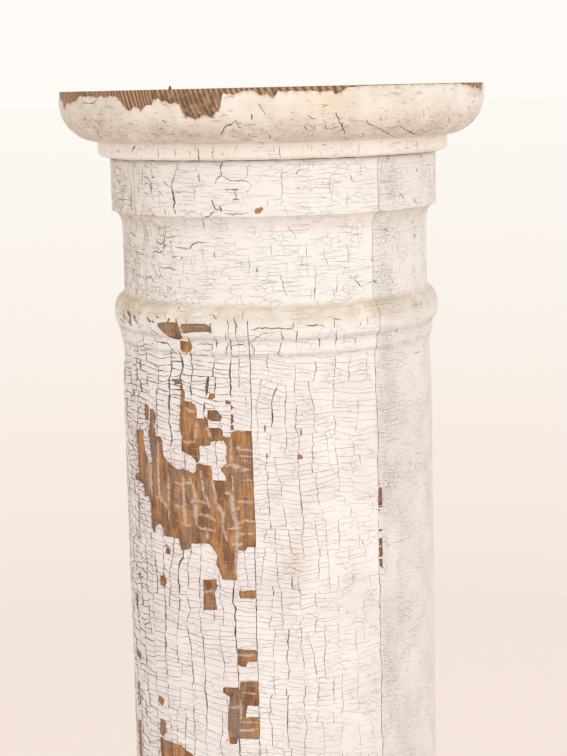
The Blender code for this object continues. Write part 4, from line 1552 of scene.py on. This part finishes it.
def bare_specks(outline):
    """Small specks of bare wood on the paint, as centres and scales on the staves' surface map."""
    specks = [(-5.2, 72.2, 2.3, 1.9), (-4.2, 71.0, 1.2, 1.2), (6.9, 223.0, 1.9, 1.9),
              (7.5, 207.5, 0.7, 2.6), (-4.9, 204.5, 0.8, 2.4), (-4.4, 221.5, 0.7, 2.3),
              (-12.4, 59.3, 2.4, 0.5), (57.5, 53.0, 0.7, 1.6)]
    for azimuth, drop, half_width, half_height in specks:
        centre = (np.radians(azimuth) * measuring_radius, -float(outline.down_at(drop)))
        yield centre, (1 / (half_width * mm), 1 / (half_height * mm))


def stave_paint():
    """Old off-white paint on the staves: mottled, hair-cracked between its cracks, dirty and darker in the
    hollows, painted shade on the left.
    """
    nodes = Nodes("old_stave_paint", 0.55)
    surface = nodes.add("UVMap", uv_map="surface").outputs["UV"]
    body = nodes.add("TexCoord").outputs["Object"]
    speck = nodes.noise(body, 420, 2)
    colour = nodes.blend(nodes.patches(body, 38, 4, 0.36, 0.68), paint_white, paint_bright)
    height_above = nodes.add("SeparateXYZ", {0: body}).outputs["Z"]
    on_neck = nodes.ramp(height_above, rim_level - 0.20, rim_level - 0.14)
    colour = nodes.blend(on_neck, colour, neck_white)
    tone = nodes.add("MapRange", {"Value": nodes.attribute("tone"), "From Min": -1.0, "To Min": 0.0,
                                  "To Max": 0.22}).outputs["Result"]
    colour = nodes.blend(tone, colour, paint_dull)
    dull = nodes.combine("SUBTRACT", 0.46, nodes.times(on_neck, 0.26))
    colour = nodes.blend(nodes.times(nodes.attribute("flank"), dull), colour, paint_dull)
    hair = nodes.times(crackle(nodes, surface, 150, 330, 0.3), nodes.patches(surface, 75, 3, 0.42, 0.62))
    colour = nodes.blend(nodes.times(hair, 0.34), colour, grime_grey)
    finest = nodes.times(crackle(nodes, surface, 520, 760, 0.9), 0.7)
    fine = nodes.combine("MAXIMUM", crackle(nodes, surface, 270, 480, 0.7), finest)
    fine = nodes.times(fine, nodes.attribute("speckled"))
    colour = nodes.blend(nodes.times(fine, 0.75), colour, grime_grey)
    # The grime values lay on tan dirt, and painted shade under the capital and down the left side.
    colour = nodes.blend(nodes.broken("grime", body, 160, 4, 0.20, 0.60), colour, grime_and_shade_tan)
    dust = nodes.broken("dust", body, 90, 4, 0.15, 0.60)
    colour = nodes.blend(nodes.times(dust, 0.82), colour, dust_tan)
    for centre, scale in bare_specks(stave_outline()):
        shift = (-centre[0] * scale[0], -centre[1] * scale[1], 0)
        near = nodes.stretch(warped_by(nodes, surface, 260, 0.0016), (*scale, 0), shift=shift)
        reach = nodes.add("VectorMath", {0: near}, operation="LENGTH").outputs["Value"]
        colour = nodes.blend(nodes.ramp(reach, 1.05, 0.75), colour, wood_speck)
    # Cracks: their walls and traced lines darkened with dirt and painted shade.
    colour = nodes.blend(nodes.attribute("crack"), colour, crack_dirt_and_shade)
    brushed = nodes.noise(nodes.stretch(surface, (260, 900, 1)), 1.0, 3)
    height = nodes.combine("ADD", nodes.times(speck, 0.6), nodes.times(brushed, 0.8))
    height = nodes.combine("SUBTRACT", height, nodes.combine("ADD", hair, fine))
    roughness = nodes.add("MapRange", {"Value": speck, "To Min": 0.42, "To Max": 0.68}).outputs["Result"]
    return nodes.finish(colour, height, 0.18 * mm, roughness)


def capital_paint():
    """The capital's smoother beige-grey coat, stained near the top, dirty, with painted shade underneath and
    at the sides.
    """
    nodes = Nodes("old_capital_paint", 0.5)
    body = nodes.add("TexCoord").outputs["Object"]
    colour = nodes.blend(nodes.patches(body, 30, 5, 0.36, 0.66), capital_grey, capital_beige)
    colour = nodes.blend(nodes.times(nodes.attribute("stain"), 0.5), colour, stain_yellow)
    wrinkle = nodes.noise(nodes.stretch(body, (120, 120, 620)), 1.0, 3)
    line = nodes.times(nodes.ramp(wrinkle, 0.60, 0.70), nodes.patches(body, 45, 3, 0.40, 0.60))
    colour = nodes.blend(nodes.times(line, 0.42), colour, grime_and_shade_tan)
    # The grime values lay on dirt and painted shade: under the echinus, round the fillet and on the flanks.
    grime = nodes.broken("grime", body, 130, 4, 0.15, 0.66)
    colour = nodes.blend(nodes.times(grime, 0.75), colour, capital_dirt_and_shade)
    height_above = nodes.add("SeparateXYZ", {0: body}).outputs["Z"]
    on_fillet = nodes.ramp(height_above, rim_level - 31.4 * mm, rim_level - 32.8 * mm)
    colour = nodes.blend(nodes.times(on_fillet, 0.6), colour, fillet_cream)
    colour = nodes.blend(nodes.broken("lip", body, 330, 3, 0.35, 0.6), colour, lip_tan)
    # Cracks: their walls and traced lines darkened with dirt and painted shade.
    colour = nodes.blend(nodes.attribute("crack"), colour, crack_dirt_and_shade)
    height = nodes.combine("ADD", wrinkle, nodes.noise(body, 300, 3))
    return nodes.finish(colour, nodes.combine("SUBTRACT", height, line), 0.45 * mm)


def stave_wood_material():
    """Bare stave wood: orange-brown with fine grain, grey in some cells, pale where the old cracks ran.

    Where the coat still covers it, the wood is seen only through cracks and is dark with dirt and painted
    shade.
    """
    nodes = Nodes("bare_stave_wood", 0.7)
    surface = nodes.add("UVMap", uv_map="surface").outputs["UV"]
    scales = ((1500, 60, 4), (120, 900, 3), (150, 45, 3), (2300, 110, 3))
    fine, cross, broad, pale = (nodes.noise(nodes.stretch(surface, (across, along, 1)), 1.0, detail)
                                for across, along, detail in scales)
    colour = nodes.blend(nodes.ramp(broad, 0.38, 0.60), wood_brown, wood_orange)
    colour = nodes.blend(nodes.times(nodes.ramp(pale, 0.52, 0.70), 0.45), colour, wood_straw)
    grey = nodes.broken("grey", surface, 90, 3, 0.30, 0.55)
    colour = nodes.blend(nodes.times(grey, 0.95), colour, wood_grey)
    colour = nodes.blend(nodes.times(nodes.ramp(fine, 0.46, 0.68), 0.70), colour, wood_grain)
    colour = nodes.blend(nodes.times(nodes.ramp(cross, 0.54, 0.72), 0.42), colour, wood_scratch)
    primer = nodes.broken("primer", surface, 380, 4, 0.25, 0.62)
    colour = nodes.blend(nodes.times(primer, 0.85), colour, wood_primer)
    # Wood under the coat, seen in the cracks: dirt and painted shade.
    colour = nodes.blend(nodes.attribute("covered"), colour, wood_in_cracks_dirt_and_shade)
    return nodes.finish(colour, nodes.combine("ADD", fine, nodes.times(primer, 0.7)), 0.22 * mm)


def capital_wood_material():
    """The capital's bare wood: brown growth rings that stand in ridges, dark between them, greyed on top."""
    nodes = Nodes("bare_capital_wood", 0.75)
    body = nodes.add("TexCoord").outputs["Object"]
    grain = nodes.noise(nodes.stretch(body, (420, 30, 30), np.radians(-grain_azimuth)), 1.0, 4)
    colour = nodes.blend(nodes.attribute("furrow"), furrow_dark, ridge_brown)
    colour = nodes.blend(nodes.ramp(grain, 0.5, 0.72), colour, ridge_grain)
    colour = nodes.blend(nodes.times(nodes.patches(body, 70, 4, 0.50, 0.68), 0.55), colour, weathered_brown)
    colour = nodes.blend(nodes.times(nodes.patches(body, 190, 3, 0.62, 0.74), 0.6), colour, ridge_pale)
    rough = nodes.noise(body, 260, 5)
    crumbled = nodes.blend(nodes.ramp(rough, 0.42, 0.62), rot_dark, rot_brown)
    colour = nodes.blend(nodes.times(nodes.attribute("rotten"), 0.55), colour, crumbled)
    height = nodes.combine("ADD", grain, nodes.times(rough, nodes.attribute("rotten")))
    return nodes.finish(colour, height, 0.45 * mm)


def base_finish():
    """The base ring's worn coat over brown wood, by the share of coat that the piece carries."""
    nodes = Nodes("worn_base_paint", 0.6)
    body = nodes.add("TexCoord").outputs["Object"]
    grain = nodes.noise(nodes.stretch(body, (300, 24, 60)), 1.0, 4)
    bare = nodes.blend(nodes.ramp(grain, 0.35, 0.70), base_wood_dark, base_wood_brown)
    coat = nodes.blend(nodes.patches(body, 34, 4, 0.38, 0.66), paint_white, paint_bright)
    cells = nodes.add("TexVoronoi", {"Vector": body, "Scale": 105}, feature="DISTANCE_TO_EDGE")
    line = nodes.ramp(cells.outputs["Distance"], 0.06, 0.015)
    line = nodes.times(line, nodes.patches(body, 40, 3, 0.42, 0.56))
    coat = nodes.blend(nodes.times(line, 0.8), coat, crack_dirt_and_shade)
    coat = nodes.blend(nodes.broken("grime", body, 120, 4, 0.2, 0.65), coat, grime_and_shade_tan)
    height = nodes.combine("SUBTRACT", nodes.noise(body, 240, 3), line)
    return nodes.finish(nodes.blend(nodes.attribute("coated"), bare, coat), height, 0.25 * mm)


def floor_material():
    """A pale floor, darker near the column as a painted shadow: its colour follows one over the distance from
    the column.
    """
    nodes = Nodes("pale_floor", 0.85)
    body = nodes.add("TexCoord").outputs["Object"]
    reach = nodes.add("VectorMath", {0: body}, operation="LENGTH").outputs["Value"]
    # Painted shadow: darker the nearer the column.
    near = nodes.add("MapRange", {"Value": nodes.combine("DIVIDE", 1.0, reach), "From Max": 0.27})
    colour = nodes.blend(near.outputs["Result"], floor_far, floor_shadow_near)
    nodes.tree.links.new(colour, nodes.shader.inputs["Base Color"])
    return nodes.material


# The setting: floor, light and the photograph's viewing angle

camera_distance = 1.0969
camera_rise = 0.6 * mm
camera_pitch = 9.93
camera_roll = -1.33
camera_yaw = 0.19
camera_lens = 79.44
floor_reach = 150.0
sky_colour = (1.0, 0.975, 0.935, 1)
sky_strength = 0.99
key_width = 1.6
key_energy = 15
key_colour = (1.0, 0.98, 0.95)
key_place = (0.8, -2.1, rim_level + 0.9)
key_target = (0, 0, rim_level - 0.2)


def make_setting():
    """A pale floor with a painted shadow round the column, a pale sky, one wide soft light from the upper
    right and the camera.
    """
    floor_mesh = bpy.data.meshes.new("floor")
    quarters = ((-1, -1), (1, -1), (1, 1), (-1, 1))
    corners = [(side * floor_reach, end * floor_reach, 0) for side, end in quarters]
    floor_mesh.from_pydata(corners, [], [(0, 1, 2, 3)])
    floor_mesh.materials.append(floor_material())
    floor = bpy.data.objects.new("floor", floor_mesh)
    bpy.context.scene.collection.objects.link(floor)
    world = bpy.data.worlds.new("pale_room")
    world.use_nodes = True
    sky = world.node_tree.nodes["Background"]
    sky.inputs["Color"].default_value = sky_colour
    sky.inputs["Strength"].default_value = sky_strength
    bpy.context.scene.world = world
    key = bpy.data.lights.new("key_light", "AREA")
    key.shape = "DISK"
    key.size = key_width
    key.energy = key_energy
    key.color = key_colour
    lamp = bpy.data.objects.new("key_light", key)
    lamp.matrix_world = aimed(key_place, key_target)
    bpy.context.scene.collection.objects.link(lamp)
    make_camera()
    bpy.context.scene.view_settings.view_transform = "Standard"


def placed(right, up, back, place):
    """A matrix that stands at a place, with these three directions as its axes."""
    rows = [(*(float(axis[row]) for axis in (right, up, back)), place[row]) for row in range(3)]
    return Matrix(rows + [(0, 0, 0, 1)])


def aimed(place, target):
    """A matrix at a place whose -Z axis points at the target."""
    back = np.subtract(place, target)
    back = back / np.linalg.norm(back)
    right = np.cross((0, 0, 1), back)
    right = right / np.linalg.norm(right)
    return placed(right, np.cross(back, right), back, place)


def make_camera():
    """The camera in front of the column, level with the rim, looking down a little, slightly rolled."""
    pitch, roll, yaw = np.radians([camera_pitch, camera_roll, camera_yaw])
    forward = np.array([np.sin(yaw) * np.cos(pitch), np.cos(yaw) * np.cos(pitch), -np.sin(pitch)])
    right = np.array([np.cos(yaw), -np.sin(yaw), 0])
    up = np.cross(right, forward)
    right, up = np.cos(roll) * right + np.sin(roll) * up, -np.sin(roll) * right + np.cos(roll) * up
    place = (0, -camera_distance, rim_level + camera_rise)
    lens = bpy.data.cameras.new("camera")
    lens.lens = camera_lens
    lens.sensor_width = 36
    camera = bpy.data.objects.new("camera", lens)
    camera.matrix_world = placed(right, up, -forward, place)
    bpy.context.scene.collection.objects.link(camera)
    bpy.context.scene.camera = camera


# The azimuths of the long cracks that part each stave's coat first, stave by stave
long_cracks = ([6.5, 20], [58], [104], [150], [196], [-120], [-80, -68], [-35.2, -16.8])


def main():
    """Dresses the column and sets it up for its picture."""
    make_setting()
    coat, wood = stave_paint(), stave_wood_material()
    staves = stave_outline()
    for index in range(stave_count):
        make_stave(index, staves, coat, wood, long_cracks[index])
    bare, capital, azimuths = capital_wood_material(), capital_outline(), capital_columns()
    make_capital_wood(capital, azimuths, bare)
    make_capital_coat(capital, azimuths, capital_paint())
    make_splinter(bare)
    make_base(base_outline(), base_finish())


main()
